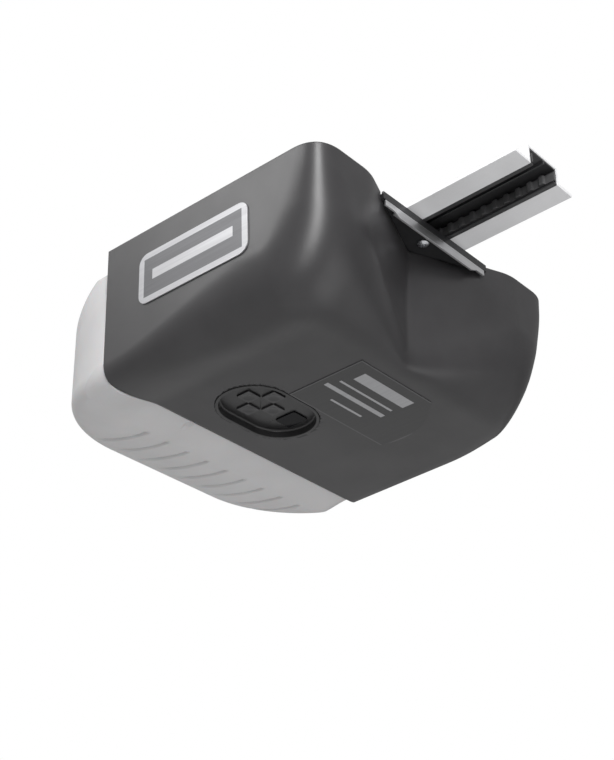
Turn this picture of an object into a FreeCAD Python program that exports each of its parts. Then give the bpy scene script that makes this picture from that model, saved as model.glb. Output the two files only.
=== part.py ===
"""Ceiling-hung garage door opener: drive head, hinged light lens and the first stretch of rail.

The origin is the middle of the four hanger holes, on the top face of the chassis plate.
+X runs along the rail towards the door, +Y is across and +Z is up. All sizes are in millimetres.
"""
import FreeCAD
import Part
import math
import os

# Cover: a drafted plastic shell, open at the top and at the rear
REAR_X = -95.0
FRONT_X = 98.8
HALF_WIDTH = 135.4
SIDE_DRAFT = 0.045
SIDE_TAPER = 0.03
COVER_LOW_Z = -106.5
COVER_WALL = 2.5
EDGE_RADIUS = 20.0
RIGHT_EDGE_RADIUS = 8.0
FRONT_BEND_Z = -40.0
BOTTOM_BEND_X = 48.0
TROUGH_Z = -101.5
TROUGH_FLAT_Y = 80.0
TROUGH_EDGE_Y = 113.0
RECESS_APEX_X = 66.5
RECESS_END_Y = 81.0
RECESS_NOSE_RADIUS = 3.0
BOSS_RADIUS = 5.0
BOSS_PLACES = [(-78.0, 121.0), (-78.0, -121.0), (62.0, 118.0), (62.0, -118.0)]

# Chassis: the steel plate that everything hangs from
PLATE_THICKNESS = 1.6
PLATE_SIDE_GAP = 3.8
PLATE_REAR_X = REAR_X + 4.0
PLATE_FRONT_X = FRONT_X - 3.1
PLATE_GAP_X = 3.6
FLANGE_DEPTH = 10.0
HANGER_X = 130.0
HANGER_Y = 180.0
HANGER_HOLE_RADIUS = 4.25

# Rail: a hat section with wide wings, its black liner, and the toothed belt inside
RAIL_START_X = 27.0
RAIL_END_X = 182.0
RAIL_WING_Y = 32.7
RAIL_WING_THICKNESS = 2.6
RAIL_SLOT_Y = 15.5
RAIL_SKIN = 1.6
RAIL_TOP_Z = 15.0
LINER_WALL = 1.3
LIP_Y = 12.0
LIP_THICKNESS = 1.4
BELT_LOW_Z = 2.8
BELT_WIDTH = 7.0
BELT_PITCH = 9.525
BELT_TIP_Y = 10.4
BELT_ROOT_Y = 12.3
BELT_BACK_Y = 13.8

# Strap over the rail, and the bracket that closes the recess under it
CLAMP_X = 62.0
TRAY_LOW_Z = -5.6
TRAY_SHEET = 1.6
TRAY_FRONT_X = 92.8
TRAY_REAR_X = 49.0
TRAY_HALF_WIDTH = 57.5
STRIP_HEIGHT = 7.2
STRIP_SHEET = 1.5
STRIP_JOGGLE = 2.8
BRACKET_SCREW_X = 80.8

# Gear train: motor pinion, a two-step gear, and the wheel on the output shaft
MODULE = 1.25
PRESSURE_ANGLE = math.radians(25.0)
PINION_TEETH = 12
STEP_TEETH = 48
OUTPUT_TEETH = 60
CENTRE_SLACK = 0.15
BACKLASH = 0.14
OUTPUT_X = 5.0
STEP_ANGLE = math.radians(75.0)
MOTOR_ANGLE = math.radians(80.0)
SHAFT_RADIUS = 5.0
STEP_PIN_RADIUS = 3.0
MOTOR_SHAFT_RADIUS = 2.5
RUNNING_GAP = 0.04
GEARBOX_TOP_Z = -1.7
GEARBOX_LID_Z = -6.0
GEARBOX_LOW_Z = -36.0
GEARBOX_WALL = 2.5
FAST_GEAR_Z = (-29.0, -21.0)
SLOW_GEAR_Z = (-17.0, -8.5)

# Motor
MOTOR_RADIUS = 32.0
MOTOR_SKIN = 1.8
MOTOR_LOW_Z = -88.0
ARMATURE_RADIUS = 24.5
MAGNET_RADIUS = 25.3

# Light: lens shell, hinge, sockets and bulbs
LENS_FRONT_X = REAR_X - 0.5
LENS_REAR_X = -179.0
LENS_TOP_Z = -9.0
LENS_HALF_WIDTH = 133.0
LENS_WALL = 2.2
LENS_CORNER = 78.0
LENS_TOP_REACH = 50.0
LENS_TOP_DROP = 28.0
LENS_LOW_REACH = 50.0
LENS_LOW_RISE = 12.0
LENS_RAMP_X = -125.0
LENS_SIDE_REACH = 5.0
HINGE_X = -101.0
HINGE_Z = -4.6
KNUCKLE_RADIUS = 3.4
HINGE_ROD_RADIUS = 1.5
LAMP_Y = 65.0
LAMP_Z = -52.0
SOCKET_RADIUS = 17.0
BULB_RADIUS = 30.0
BULB_CENTRE_X = -135.0
BULB_SHOULDER = 9.0
BULB_NECK_RADIUS = 13.0

# Power parts behind the plate
GLAND_X = -70.0
GLAND_Y = 45.0
TERMINAL_X = -72.0
TERMINAL_Y = -30.0
TRANSFORMER_X = 14.0
TRANSFORMER_Y = -84.0

# Plates on the outside
BADGE_LENGTH = 100.0
BADGE_HEIGHT = 40.0
BADGE_FRONT_X = 38.5
BADGE_MIDDLE_Z = -41.0
BADGE_CORNER = 8.0
LABEL_REAR_X = -17.5
LABEL_FRONT_X = 48.0
LABEL_LEFT_Y = -30.0
LABEL_RIGHT_Y = 68.0
LABEL_THICKNESS = 0.43

# Control pad on the underside
PAD_X = -46.5
PAD_Y = -21.0
PAD_WIDTH = 56.5
PAD_LENGTH = 81.0
PAD_FLOOR_Z = -96.0
PAD_FLOOR = 1.6
PAD_RIM = 2.2
KEY_SIZE = 11.4
KEY_REACH = 12.4
KEY_CENTRE_Y = PAD_Y - 7.0
KEY_GAP = 0.35
DISPLAY_Y = PAD_Y + 24.5
DISPLAY_HALF_X = 9.2
DISPLAY_HALF_Y = 7.2
BOARD_Z = -84.0
BOARD_THICKNESS = 1.6

VERTICAL = FreeCAD.Vector(0, 0, 1)
ALONG = FreeCAD.Vector(1, 0, 0)
ACROSS = FreeCAD.Vector(0, 1, 0)


def vec(x, y, z):
    return FreeCAD.Vector(x, y, z)


def save(node, shape):
    """Write one sub-part and print its volume."""
    shape.exportStep("parts/" + node + ".step")
    print(node, shape.ShapeType, len(shape.Solids), round(shape.Volume / 1000.0, 2), "cm3", shape.isValid())


def box(x0, x1, y0, y1, z0, z1):
    return Part.makeBox(x1 - x0, y1 - y0, z1 - z0, vec(x0, y0, z0))


def post(x, y, radius, z0, z1):
    """An upright cylinder."""
    return Part.makeCylinder(radius, z1 - z0, vec(x, y, z0), VERTICAL)


def tube(x, y, outer, inner, z0, z1):
    """An upright ring."""
    return post(x, y, outer, z0, z1).cut(post(x, y, inner, z0 - 1.0, z1 + 1.0))


def bar_x(y, z, radius, x0, x1):
    """A cylinder along the rail direction."""
    return Part.makeCylinder(radius, x1 - x0, vec(x0, y, z), ALONG)


def bar_y(x, z, radius, y0, y1):
    """A cylinder across the opener."""
    return Part.makeCylinder(radius, y1 - y0, vec(x, y0, z), ACROSS)


def prism(points, direction):
    """A solid made by pushing a closed outline along a direction."""
    wire = Part.makePolygon(points + [points[0]])
    return Part.Face(wire).extrude(direction)


def outline_prism(edges, direction):
    """The same, for an outline that has curved edges."""
    return Part.Face(Part.Wire(edges)).extrude(direction)


def line(a, b):
    return Part.LineSegment(a, b).toShape()


def mirror_y(shape):
    return shape.mirror(vec(0, 0, 0), ACROSS)


def rounded_bar(x, y, length, width, z0, z1):
    """An upright solid with a stadium outline, long across the opener."""
    radius = width / 2.0
    reach = length / 2.0 - radius
    solid = box(x - radius, x + radius, y - reach, y + reach, z0, z1)
    solid = solid.fuse(post(x, y - reach, radius, z0, z1))
    return solid.fuse(post(x, y + reach, radius, z0, z1)).removeSplitter()


def edges_where(shape, test):
    """The edges whose middle point passes a test."""
    chosen = []
    for edge in shape.Edges:
        middle = edge.valueAt((edge.FirstParameter + edge.LastParameter) / 2.0)
        if test(middle):
            chosen.append(edge)
    return chosen


# ---------------------------------------------------------------- cover

def side_y(x, z):
    """Half the cover's width at one place: it narrows to the front and to the bottom."""
    return HALF_WIDTH - SIDE_TAPER * (x - REAR_X) + SIDE_DRAFT * z


def body_profile(inset, y0, y1):
    """The side view of the cover pushed across it: front wall, big bend and bottom."""
    top = 1.0 if inset else 0.0
    rear = REAR_X - 1.0 if inset else REAR_X
    front = FRONT_X - inset
    low = COVER_LOW_Z + inset
    lean = 0.03
    bend = vec(front + lean * FRONT_BEND_Z, y0, FRONT_BEND_Z)
    end = vec(BOTTOM_BEND_X, y0, low)
    pull = vec(front + lean * (FRONT_BEND_Z - 32.0), y0, FRONT_BEND_Z - 32.0)
    push = vec(BOTTOM_BEND_X + 22.0, y0, low)
    curve = Part.BezierCurve()
    curve.setPoles([bend, pull, push, end])
    start = vec(front - lean * top, y0, top)
    edges = [line(start, bend), curve.toShape(), line(end, vec(rear, y0, low))]
    edges.append(line(vec(rear, y0, low), vec(rear, y0, top)))
    edges.append(line(vec(rear, y0, top), start))
    return outline_prism(edges, vec(0, y1 - y0, 0))


def side_draft(inset):
    """A block between the two sides, which lean in to the bottom and to the front."""
    x0 = REAR_X - 5.0
    x1 = FRONT_X + 5.0
    rings = []
    for z in (2.0, COVER_LOW_Z - 5.0):
        rear = side_y(x0, z) - inset
        front = side_y(x1, z) - inset
        rings.append([vec(x0, -rear, z), vec(x1, -front, z), vec(x1, front, z), vec(x0, rear, z)])
    high, low = rings
    outlines = [high, low]
    for index in range(4):
        after = (index + 1) % 4
        outlines.append([high[index], high[after], low[after], low[index]])
    faces = [Part.Face(Part.makePolygon(points + points[:1])) for points in outlines]
    solid = Part.Solid(Part.Shell(faces))
    if solid.Volume < 0.0:
        solid.reverse()
    return solid


def recess_cutter(inset):
    """The wedge cut out of the front, under the rail."""
    slope = (FRONT_X - RECESS_APEX_X) / RECESS_END_Y
    apex = RECESS_APEX_X - inset * math.hypot(1.0, slope)
    reach = 112.0
    far = apex + slope * reach
    low = COVER_LOW_Z - 5.0
    points = [vec(apex, 0, low), vec(far, reach, low), vec(far, -reach, low)]
    wedge = prism(points, vec(0, 0, 5.0 - low))
    nose = edges_where(wedge, lambda p: abs(p.y) < 0.1 and abs(p.x - apex) < 0.1)
    return wedge.makeFillet(RECESS_NOSE_RADIUS + inset, nose)


def trough_cutter(inset):
    """The flat underside, which rises above a soft ridge along the left side."""
    x0 = REAR_X - 2.0
    flat = TROUGH_Z + inset
    edge = COVER_LOW_Z - 0.1 + inset
    low = COVER_LOW_Z - 10.0
    far = HALF_WIDTH + 10.0
    points = [vec(x0, -TROUGH_EDGE_Y, edge), vec(x0, -TROUGH_FLAT_Y, flat), vec(x0, far, flat)]
    points += [vec(x0, far, low), vec(x0, -TROUGH_EDGE_Y, low)]
    return prism(points, vec(FRONT_X - x0 + 5.0, 0, 0))


def rounded_sides(block, inset):
    """Rounds the side edges; the right side's radius gets smaller round the bend."""
    document = FreeCAD.newDocument("cover")
    base = document.addObject("Part::Feature", "base")
    base.Shape = block
    rounding = document.addObject("Part::Fillet", "rounding")
    rounding.Base = base
    chosen = []
    for number, edge in enumerate(block.Edges, 1):
        middle = edge.valueAt((edge.FirstParameter + edge.LastParameter) / 2.0)
        on_side = abs(middle.y) > HALF_WIDTH - inset - 12.0
        on_front = middle.x > BOTTOM_BEND_X - 1.0 and middle.z < 0.0
        on_bottom = middle.z < COVER_LOW_Z + inset + 0.5
        if on_side and (on_front or on_bottom):
            radii = []
            for end in (edge.valueAt(edge.FirstParameter), edge.valueAt(edge.LastParameter)):
                small = end.y > 0.0 and end.z < FRONT_BEND_Z - 5.0
                radii.append((RIGHT_EDGE_RADIUS if small else EDGE_RADIUS) - inset)
            chosen.append((number, radii[0], radii[1]))
    rounding.Edges = chosen
    document.recompute()
    shape = rounding.Shape.copy()
    FreeCAD.closeDocument(document.Name)
    return shape


def cover_block(inset):
    """The cover as a full block, shrunk by the inset."""
    wide = HALF_WIDTH + 3.0
    block = body_profile(inset, -wide, wide).common(side_draft(inset))
    block = rounded_sides(block, inset)
    block = block.cut(recess_cutter(inset))
    return block.cut(trough_cutter(inset))


def housing_cover():
    shell = cover_block(0.0).cut(cover_block(COVER_WALL))
    gate = TRAY_HALF_WIDTH + 0.6
    shell = shell.cut(box(RECESS_APEX_X - 20.0, FRONT_X + 5.0, -gate, gate, TRAY_LOW_Z - 0.1, 5.0))
    for x, y in BOSS_PLACES:
        side = math.copysign(1.0, y)
        rib_far = side * (side_y(x, -26.0) - 1.0)
        rib = box(x - 1.5, x + 1.5, min(y, rib_far), max(y, rib_far), -26.0, -PLATE_THICKNESS - 0.1)
        boss = post(x, y, BOSS_RADIUS, -26.0, -PLATE_THICKNESS - 0.1).fuse(rib)
        shell = shell.fuse(boss).cut(post(x, y, 2.05, -22.0, 0.0))
    for x, y in board_screw_places():
        foot = post(x, y, 3.6, TROUGH_Z + COVER_WALL - 0.5, BOARD_Z)
        shell = shell.fuse(foot).cut(post(x, y, 1.25, BOARD_Z - 7.0, BOARD_Z + 1.0))
    window = rounded_bar(PAD_X, PAD_Y, PAD_LENGTH + 0.4, PAD_WIDTH + 0.4, -115.0, -90.0)
    shell = shell.cut(window)
    for y in (-30.0, 30.0):
        shell = shell.cut(box(REAR_X - 1.0, REAR_X + 4.0, y - 7.5, y + 7.5, -110.0, -95.0))
    return shell.removeSplitter()


def cover_screws():
    """Four screws that go down through the plate into the cover's bosses."""
    group = []
    for x, y in BOSS_PLACES:
        head = post(x, y, 4.2, 0.0, 2.8)
        head = head.cut(box(x - 2.6, x + 2.6, y - 0.5, y + 0.5, 1.6, 4.0))
        head = head.cut(box(x - 0.5, x + 0.5, y - 2.6, y + 2.6, 1.6, 4.0))
        group.append(head.fuse(post(x, y, 1.95, -18.0, 0.0)).removeSplitter())
    return Part.makeCompound(group)


# ---------------------------------------------------------------- chassis

def hanger_places():
    places = []
    for x in (-HANGER_X / 2.0, HANGER_X / 2.0):
        for y in (-HANGER_Y / 2.0, HANGER_Y / 2.0):
            places.append((x, y))
    return places


def clamp_bolt_places():
    return [(CLAMP_X, -43.0), (CLAMP_X, 43.0)]


def gearbox_screw_places():
    """Six screws on the gearbox's outer ears."""
    step_x, step_y = step_axis()
    motor_x, motor_y = motor_axis()
    places = []
    for degrees in (200.0, 250.0, 300.0):
        turn = math.radians(degrees)
        places.append((OUTPUT_X + 46.0 * math.cos(turn), 46.0 * math.sin(turn)))
    for degrees in (-25.0, 90.0, 160.0):
        turn = math.radians(degrees)
        places.append((motor_x + 38.5 * math.cos(turn), motor_y + 38.5 * math.sin(turn)))
    return places


def chassis_plate():
    slope = (FRONT_X - RECESS_APEX_X) / RECESS_END_Y
    apex = RECESS_APEX_X - PLATE_GAP_X
    bend_y = (PLATE_FRONT_X - apex) / slope
    rear_side = side_y(PLATE_REAR_X, 0.0) - PLATE_SIDE_GAP
    side = side_y(PLATE_FRONT_X, 0.0) - PLATE_SIDE_GAP
    corner = 17.0
    z = -PLATE_THICKNESS
    points = [vec(PLATE_REAR_X, -rear_side, z), vec(PLATE_FRONT_X, -side, z), vec(PLATE_FRONT_X, -bend_y, z)]
    points += [vec(apex, 0, z), vec(PLATE_FRONT_X, bend_y, z), vec(PLATE_FRONT_X, side, z)]
    points.append(vec(PLATE_REAR_X, rear_side, z))
    plate = prism(points, vec(0, 0, PLATE_THICKNESS))
    corners = edges_where(plate, lambda p: p.x > PLATE_FRONT_X - 0.1 and abs(p.y) > side - 0.1)
    plate = plate.makeFillet(corner, corners)
    low = -PLATE_THICKNESS - FLANGE_DEPTH
    plate = plate.fuse(box(PLATE_REAR_X, PLATE_REAR_X + PLATE_THICKNESS, -112.0, 112.0, low, z + 0.1))
    for sign in (-1.0, 1.0):
        corners = []
        for x, depth in ((-62.0, 0.0), (45.0, 0.0), (45.0, PLATE_THICKNESS), (-62.0, PLATE_THICKNESS)):
            corners.append(vec(x, sign * (side_y(x, 0.0) - PLATE_SIDE_GAP - depth), low))
        plate = plate.fuse(prism(corners, vec(0, 0, z + 0.1 - low)))
    for x, y in hanger_places():
        plate = plate.cut(post(x, y, HANGER_HOLE_RADIUS, -3.0, 1.0))
    for x, y in BOSS_PLACES:
        plate = plate.cut(post(x, y, 2.3, -3.0, 1.0))
    for x, y in clamp_bolt_places():
        plate = plate.cut(post(x, y, 3.2, -3.0, 1.0))
    for x, y in gearbox_screw_places():
        plate = plate.cut(post(x, y, 2.2, -3.0, 1.0))
    plate = plate.cut(post(OUTPUT_X, 0, 9.5, -3.0, 1.0))
    plate = plate.cut(post(GLAND_X, GLAND_Y, 8.0, -3.0, 1.0))
    wide = 6.2
    tall = 18.2
    x, y = TERMINAL_X, TERMINAL_Y
    plate = plate.cut(box(x - wide, x + wide, y - tall, y + tall, -3.0, 1.0))
    return plate.removeSplitter()


# ---------------------------------------------------------------- rail, belt and bracket

def rail_section():
    """The metal hat section: two wings and a channel with its open side down."""
    outer_y = RAIL_SLOT_Y + RAIL_SKIN
    x0 = RAIL_START_X
    x1 = RAIL_END_X
    solid = box(x0, x1, -RAIL_WING_Y, RAIL_WING_Y, 0.0, RAIL_WING_THICKNESS)
    solid = solid.fuse(box(x0, x1, -outer_y, outer_y, 0.0, RAIL_TOP_Z))
    channel = box(x0 - 1, x1 + 1, -RAIL_SLOT_Y, RAIL_SLOT_Y, -1.0, RAIL_TOP_Z - RAIL_SKIN)
    return solid.cut(channel).removeSplitter()


def belt_guide():
    """The black liner: two side walls, a roof with a middle rib, and lips along the slot."""
    outer = RAIL_SLOT_Y - 0.05
    roof = RAIL_TOP_Z - RAIL_SKIN - 0.05
    x0 = RAIL_START_X + 2.0
    x1 = RAIL_END_X - 0.5
    solid = box(x0, x1, -outer, outer, 0.1, roof)
    inner = outer - LINER_WALL
    solid = solid.cut(box(x0 - 1, x1 + 1, -inner, inner, LIP_THICKNESS, roof - LINER_WALL))
    solid = solid.cut(box(x0 - 1, x1 + 1, -LIP_Y, LIP_Y, -1.0, LIP_THICKNESS + 0.1))
    solid = solid.fuse(box(x0, x1, 1.0, 2.4, roof - LINER_WALL - 2.2, roof - LINER_WALL + 0.1))
    return solid.removeSplitter()


def belt_tooth(x, side):
    """One trapezoid tooth that points to the middle of the rail."""
    root = BELT_ROOT_Y + 0.2
    points = [vec(x - 2.4, side * root, BELT_LOW_Z), vec(x + 2.4, side * root, BELT_LOW_Z)]
    points += [vec(x + 1.6, side * BELT_TIP_Y, BELT_LOW_Z), vec(x - 1.6, side * BELT_TIP_Y, BELT_LOW_Z)]
    return prism(points, vec(0, 0, BELT_WIDTH))


def drive_belt():
    """Two strands and the turn round the pulley, with teeth on the inside."""
    z0 = BELT_LOW_Z
    z1 = BELT_LOW_Z + BELT_WIDTH
    turn = tube(OUTPUT_X, 0, BELT_BACK_Y, BELT_ROOT_Y, z0, z1)
    turn = turn.cut(box(OUTPUT_X, OUTPUT_X + 40.0, -20.0, 20.0, z0 - 1.0, z1 + 1.0))
    pieces = []
    for side in (-1.0, 1.0):
        y0 = min(side * BELT_ROOT_Y, side * BELT_BACK_Y)
        strand = box(OUTPUT_X, RAIL_END_X, y0, y0 + BELT_BACK_Y - BELT_ROOT_Y, z0, z1)
        pieces.append(strand)
        count = int((RAIL_END_X - OUTPUT_X - 4.0) / BELT_PITCH)
        for index in range(count):
            pieces.append(belt_tooth(OUTPUT_X + BELT_PITCH * (index + 0.6), side))
    return turn.fuse(pieces).removeSplitter()


def drive_pulley():
    """An eight-tooth pulley between two flanges."""
    low = BELT_LOW_Z - 0.6
    high = BELT_LOW_Z + BELT_WIDTH + 0.6
    radius = BELT_TIP_Y - 0.3
    solid = post(OUTPUT_X, 0, radius, low, high)
    teeth = 8
    for index in range(teeth):
        turn = 2.0 * math.pi * (index + 0.5) / teeth
        x = OUTPUT_X + (radius + 0.6) * math.cos(turn)
        y = (radius + 0.6) * math.sin(turn)
        solid = solid.cut(post(x, y, 2.3, low - 1.0, high + 1.0))
    for z in (low - 1.0, high):
        solid = solid.fuse(post(OUTPUT_X, 0, BELT_BACK_Y + 0.5, z, z + 1.0))
    return solid.cut(post(OUTPUT_X, 0, SHAFT_RADIUS, 0.0, 20.0)).removeSplitter()


def rail_clamp():
    """A folded strap that holds the rail's rear end down on the plate."""
    x0 = CLAMP_X - 8.0
    x1 = CLAMP_X + 8.0
    sheet = 2.0
    outer_y = RAIL_SLOT_Y + RAIL_SKIN + 0.1
    top = RAIL_TOP_Z + 0.05
    solid = box(x0, x1, -outer_y - sheet, outer_y + sheet, RAIL_WING_THICKNESS + 0.05, top + sheet)
    solid = solid.cut(box(x0 - 1, x1 + 1, -outer_y, outer_y, -1.0, top))
    for side in (-1.0, 1.0):
        wing_out = RAIL_WING_Y + 0.3
        lap = box(x0, x1, outer_y, wing_out + sheet, RAIL_WING_THICKNESS + 0.05, RAIL_WING_THICKNESS + sheet)
        drop = box(x0, x1, wing_out, wing_out + sheet, 0.0, RAIL_WING_THICKNESS + sheet)
        foot = box(x0, x1, wing_out, 50.0, 0.0, sheet)
        wing = lap.fuse([drop, foot])
        if side < 0.0:
            wing = mirror_y(wing)
        solid = solid.fuse(wing)
    for x, y in clamp_bolt_places():
        solid = solid.cut(post(x, y, 3.2, -1.0, 5.0))
    return solid.removeSplitter()


def hex_prism(x, y, across_flats, z0, z1):
    radius = across_flats / math.sqrt(3.0)
    points = []
    for index in range(6):
        turn = math.pi / 3.0 * index
        points.append(vec(x + radius * math.cos(turn), y + radius * math.sin(turn), z0))
    return prism(points, vec(0, 0, z1 - z0))


def clamp_bolts():
    group = []
    for x, y in clamp_bolt_places():
        group.append(hex_prism(x, y, 10.0, 2.0, 6.0).fuse(post(x, y, 3.0, -9.0, 2.0)).removeSplitter())
    return Part.makeCompound(group)


def clamp_nuts():
    group = []
    for x, y in clamp_bolt_places():
        nut = hex_prism(x, y, 10.0, -PLATE_THICKNESS - 5.0, -PLATE_THICKNESS)
        group.append(nut.cut(post(x, y, 3.0, -10.0, 0.0)))
    return Part.makeCompound(group)


def tray_outline(inset, z):
    """The bracket's plan: a wedge that fills the recess, on a straight-sided rear part."""
    slope = (FRONT_X - RECESS_APEX_X) / RECESS_END_Y
    half = TRAY_HALF_WIDTH - inset
    front = TRAY_FRONT_X - inset
    rear = TRAY_REAR_X + inset
    neck = 22.0 - inset
    shoulder = RECESS_APEX_X - 6.0 + slope * half
    points = [vec(rear, -neck, z), vec(RECESS_APEX_X - 6.0 + slope * neck, -neck, z), vec(shoulder, -half, z)]
    points += [vec(front, -half, z), vec(front, half, z), vec(shoulder, half, z)]
    points += [vec(RECESS_APEX_X - 6.0 + slope * neck, neck, z), vec(rear, neck, z)]
    return points


def rail_bracket():
    """A pressed tray under the rail: floor, upturned rim and a raised lip below the slot."""
    height = -0.05 - TRAY_LOW_Z
    tray = prism(tray_outline(0.0, TRAY_LOW_Z), vec(0, 0, height))
    hollow = prism(tray_outline(TRAY_SHEET, TRAY_LOW_Z + TRAY_SHEET), vec(0, 0, height))
    tray = tray.cut(hollow)
    under_plate = box(TRAY_REAR_X - 1.0, RECESS_APEX_X + 40.0, -70.0, 70.0, -PLATE_THICKNESS - 0.05, 5.0)
    front_part = box(TRAY_FRONT_X - TRAY_SHEET - 0.01, TRAY_FRONT_X + 5.0, -70.0, 70.0, -10.0, 10.0)
    tray = tray.cut(under_plate.cut(front_part))
    tray = tray.cut(post(BRACKET_SCREW_X, 0, 2.1, -10.0, 0.0))
    return tray.removeSplitter()


def bracket_strip():
    """The plated strip under the bracket's front edge, with joggled ends."""
    x0 = TRAY_FRONT_X - STRIP_SHEET - 0.2
    top = TRAY_LOW_Z - 0.05
    low = top - STRIP_HEIGHT
    rise = STRIP_JOGGLE
    outer = TRAY_HALF_WIDTH - 2.5
    bend_out = outer - 9.0
    bend_in = bend_out - 6.0
    half = [vec(x0, 0, low), vec(x0, bend_in, low), vec(x0, bend_out, low + rise), vec(x0, outer, low + rise)]
    half += [vec(x0, outer, top), vec(x0, 0, top)]
    right = prism(half, vec(STRIP_SHEET, 0, 0))
    flange = right.fuse(mirror_y(right))
    flange = flange.fuse(box(x0 - 5.0, x0 + 0.1, -bend_in, bend_in, top - 1.2, top))
    return flange.removeSplitter()


def bracket_screw():
    """A pan-head cross screw that goes up through the bracket's floor."""
    top = TRAY_LOW_Z - 0.02
    head = Part.makeSphere(6.0, vec(BRACKET_SCREW_X, 0, top + 3.4))
    head = head.common(post(BRACKET_SCREW_X, 0, 4.2, top - 2.6, top))
    cross = box(BRACKET_SCREW_X - 2.4, BRACKET_SCREW_X + 2.4, -0.5, 0.5, top - 3.0, top - 1.2)
    cross = cross.fuse(box(BRACKET_SCREW_X - 0.5, BRACKET_SCREW_X + 0.5, -2.4, 2.4, top - 3.0, top - 1.2))
    return head.cut(cross).fuse(post(BRACKET_SCREW_X, 0, 2.0, top, -0.3)).removeSplitter()


# ---------------------------------------------------------------- gears and gearbox

def step_axis():
    distance = MODULE * (OUTPUT_TEETH + PINION_TEETH) / 2.0 + CENTRE_SLACK
    return OUTPUT_X + distance * math.cos(STEP_ANGLE), distance * math.sin(STEP_ANGLE)


def motor_axis():
    distance = MODULE * (STEP_TEETH + PINION_TEETH) / 2.0 + CENTRE_SLACK
    x, y = step_axis()
    return x + distance * math.cos(MOTOR_ANGLE), y + distance * math.sin(MOTOR_ANGLE)


def involute_angle(radius, base):
    """How far round the involute has gone at this radius."""
    if radius <= base:
        return 0.0
    roll = math.sqrt((radius / base) ** 2 - 1.0)
    return roll - math.atan(roll)


def spur_gear(x, y, teeth, phase, z0, z1):
    """A spur gear with involute flanks; one tooth points along the phase angle."""
    pitch = MODULE * teeth / 2.0
    base = pitch * math.cos(PRESSURE_ANGLE)
    tip = pitch + 0.8 * MODULE
    root = pitch - 1.05 * MODULE
    half_pitch = math.pi / (2.0 * teeth) - BACKLASH / (2.0 * pitch)
    half_base = half_pitch + involute_angle(pitch, base)
    start = max(base, root)

    def place(radius, angle):
        return vec(x + radius * math.cos(angle), y + radius * math.sin(angle), z0)

    def flank(centre, side):
        points = []
        steps = 4
        for index in range(steps + 1):
            radius = start + (tip - start) * index / steps
            points.append(place(radius, centre + side * (half_base - involute_angle(radius, base))))
        curve = Part.BSplineCurve()
        curve.interpolate(points)
        return curve, points

    edges = []
    step = 2.0 * math.pi / teeth
    for index in range(teeth):
        centre = phase + step * index
        rising, low_side = flank(centre, -1.0)
        falling, high_side = flank(centre, 1.0)
        if root < start:
            edges.append(line(place(root, centre - half_base), low_side[0]))
        edges.append(rising.toShape())
        edges.append(Part.Arc(low_side[-1], place(tip, centre), high_side[-1]).toShape())
        edges.append(falling.toShape())
        if root < start:
            edges.append(line(high_side[0], place(root, centre + half_base)))
        gap_start = place(min(root, start), centre + half_base)
        gap_end = place(min(root, start), centre + step - half_base)
        if root >= start:
            gap_start = high_side[0]
            gap_end = place(start, centre + step - half_base + involute_angle(start, base))
        gap_middle = place(min(root, start), centre + step / 2.0)
        edges.append(Part.Arc(gap_start, gap_middle, gap_end).toShape())
    wire = Part.Wire(Part.__sortEdges__(edges))
    return Part.Face(wire).extrude(vec(0, 0, z1 - z0))


def output_gear():
    gear = spur_gear(OUTPUT_X, 0, OUTPUT_TEETH, STEP_ANGLE, SLOW_GEAR_Z[0], SLOW_GEAR_Z[1])
    gear = gear.cut(tube(OUTPUT_X, 0, 31.0, 12.0, SLOW_GEAR_Z[1] - 2.5, SLOW_GEAR_Z[1] + 1.0))
    gear = gear.cut(tube(OUTPUT_X, 0, 31.0, 12.0, SLOW_GEAR_Z[0] - 1.0, SLOW_GEAR_Z[0] + 2.5))
    gear = gear.fuse(post(OUTPUT_X, 0, 8.5, GEARBOX_LOW_Z + 4.0, GEARBOX_LID_Z - 0.5))
    return gear.cut(post(OUTPUT_X, 0, SHAFT_RADIUS, -60.0, 20.0)).removeSplitter()


def output_shaft():
    shaft = post(OUTPUT_X, 0, SHAFT_RADIUS, GEARBOX_LOW_Z - 0.8, 13.2)
    ring = tube(OUTPUT_X, 0, SHAFT_RADIUS + 1.0, SHAFT_RADIUS - 0.6, 11.9, 12.7)
    return shaft.cut(ring)


def step_gear():
    """The two-step gear: the large wheel takes the motor, the small one drives the output."""
    x, y = step_axis()
    facing_motor = MOTOR_ANGLE
    facing_output = STEP_ANGLE + math.pi
    wheel = spur_gear(x, y, STEP_TEETH, facing_motor, FAST_GEAR_Z[0], FAST_GEAR_Z[1])
    wheel = wheel.cut(tube(x, y, 24.5, 10.0, FAST_GEAR_Z[0] - 1.0, FAST_GEAR_Z[0] + 2.2))
    small_phase = facing_output + math.pi / PINION_TEETH
    small = spur_gear(x, y, PINION_TEETH, small_phase, SLOW_GEAR_Z[0] - 0.5, SLOW_GEAR_Z[1] + 0.5)
    collar = post(x, y, 6.0, FAST_GEAR_Z[1] - 0.1, SLOW_GEAR_Z[0] - 0.4)
    collar = collar.fuse(post(x, y, 5.0, FAST_GEAR_Z[0] - 3.5, FAST_GEAR_Z[0] + 0.1))
    gear = wheel.fuse([collar, small])
    return gear.cut(post(x, y, STEP_PIN_RADIUS + RUNNING_GAP, -60.0, 20.0)).removeSplitter()


def step_pin():
    x, y = step_axis()
    return post(x, y, STEP_PIN_RADIUS, GEARBOX_LOW_Z + 0.5, GEARBOX_LID_Z + 2.5)


def motor_pinion():
    x, y = motor_axis()
    phase = MOTOR_ANGLE + math.pi + math.pi / PINION_TEETH
    gear = spur_gear(x, y, PINION_TEETH, phase, FAST_GEAR_Z[0] - 0.8, FAST_GEAR_Z[1] + 0.8)
    return gear.cut(post(x, y, MOTOR_SHAFT_RADIUS, -60.0, 20.0))


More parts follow.
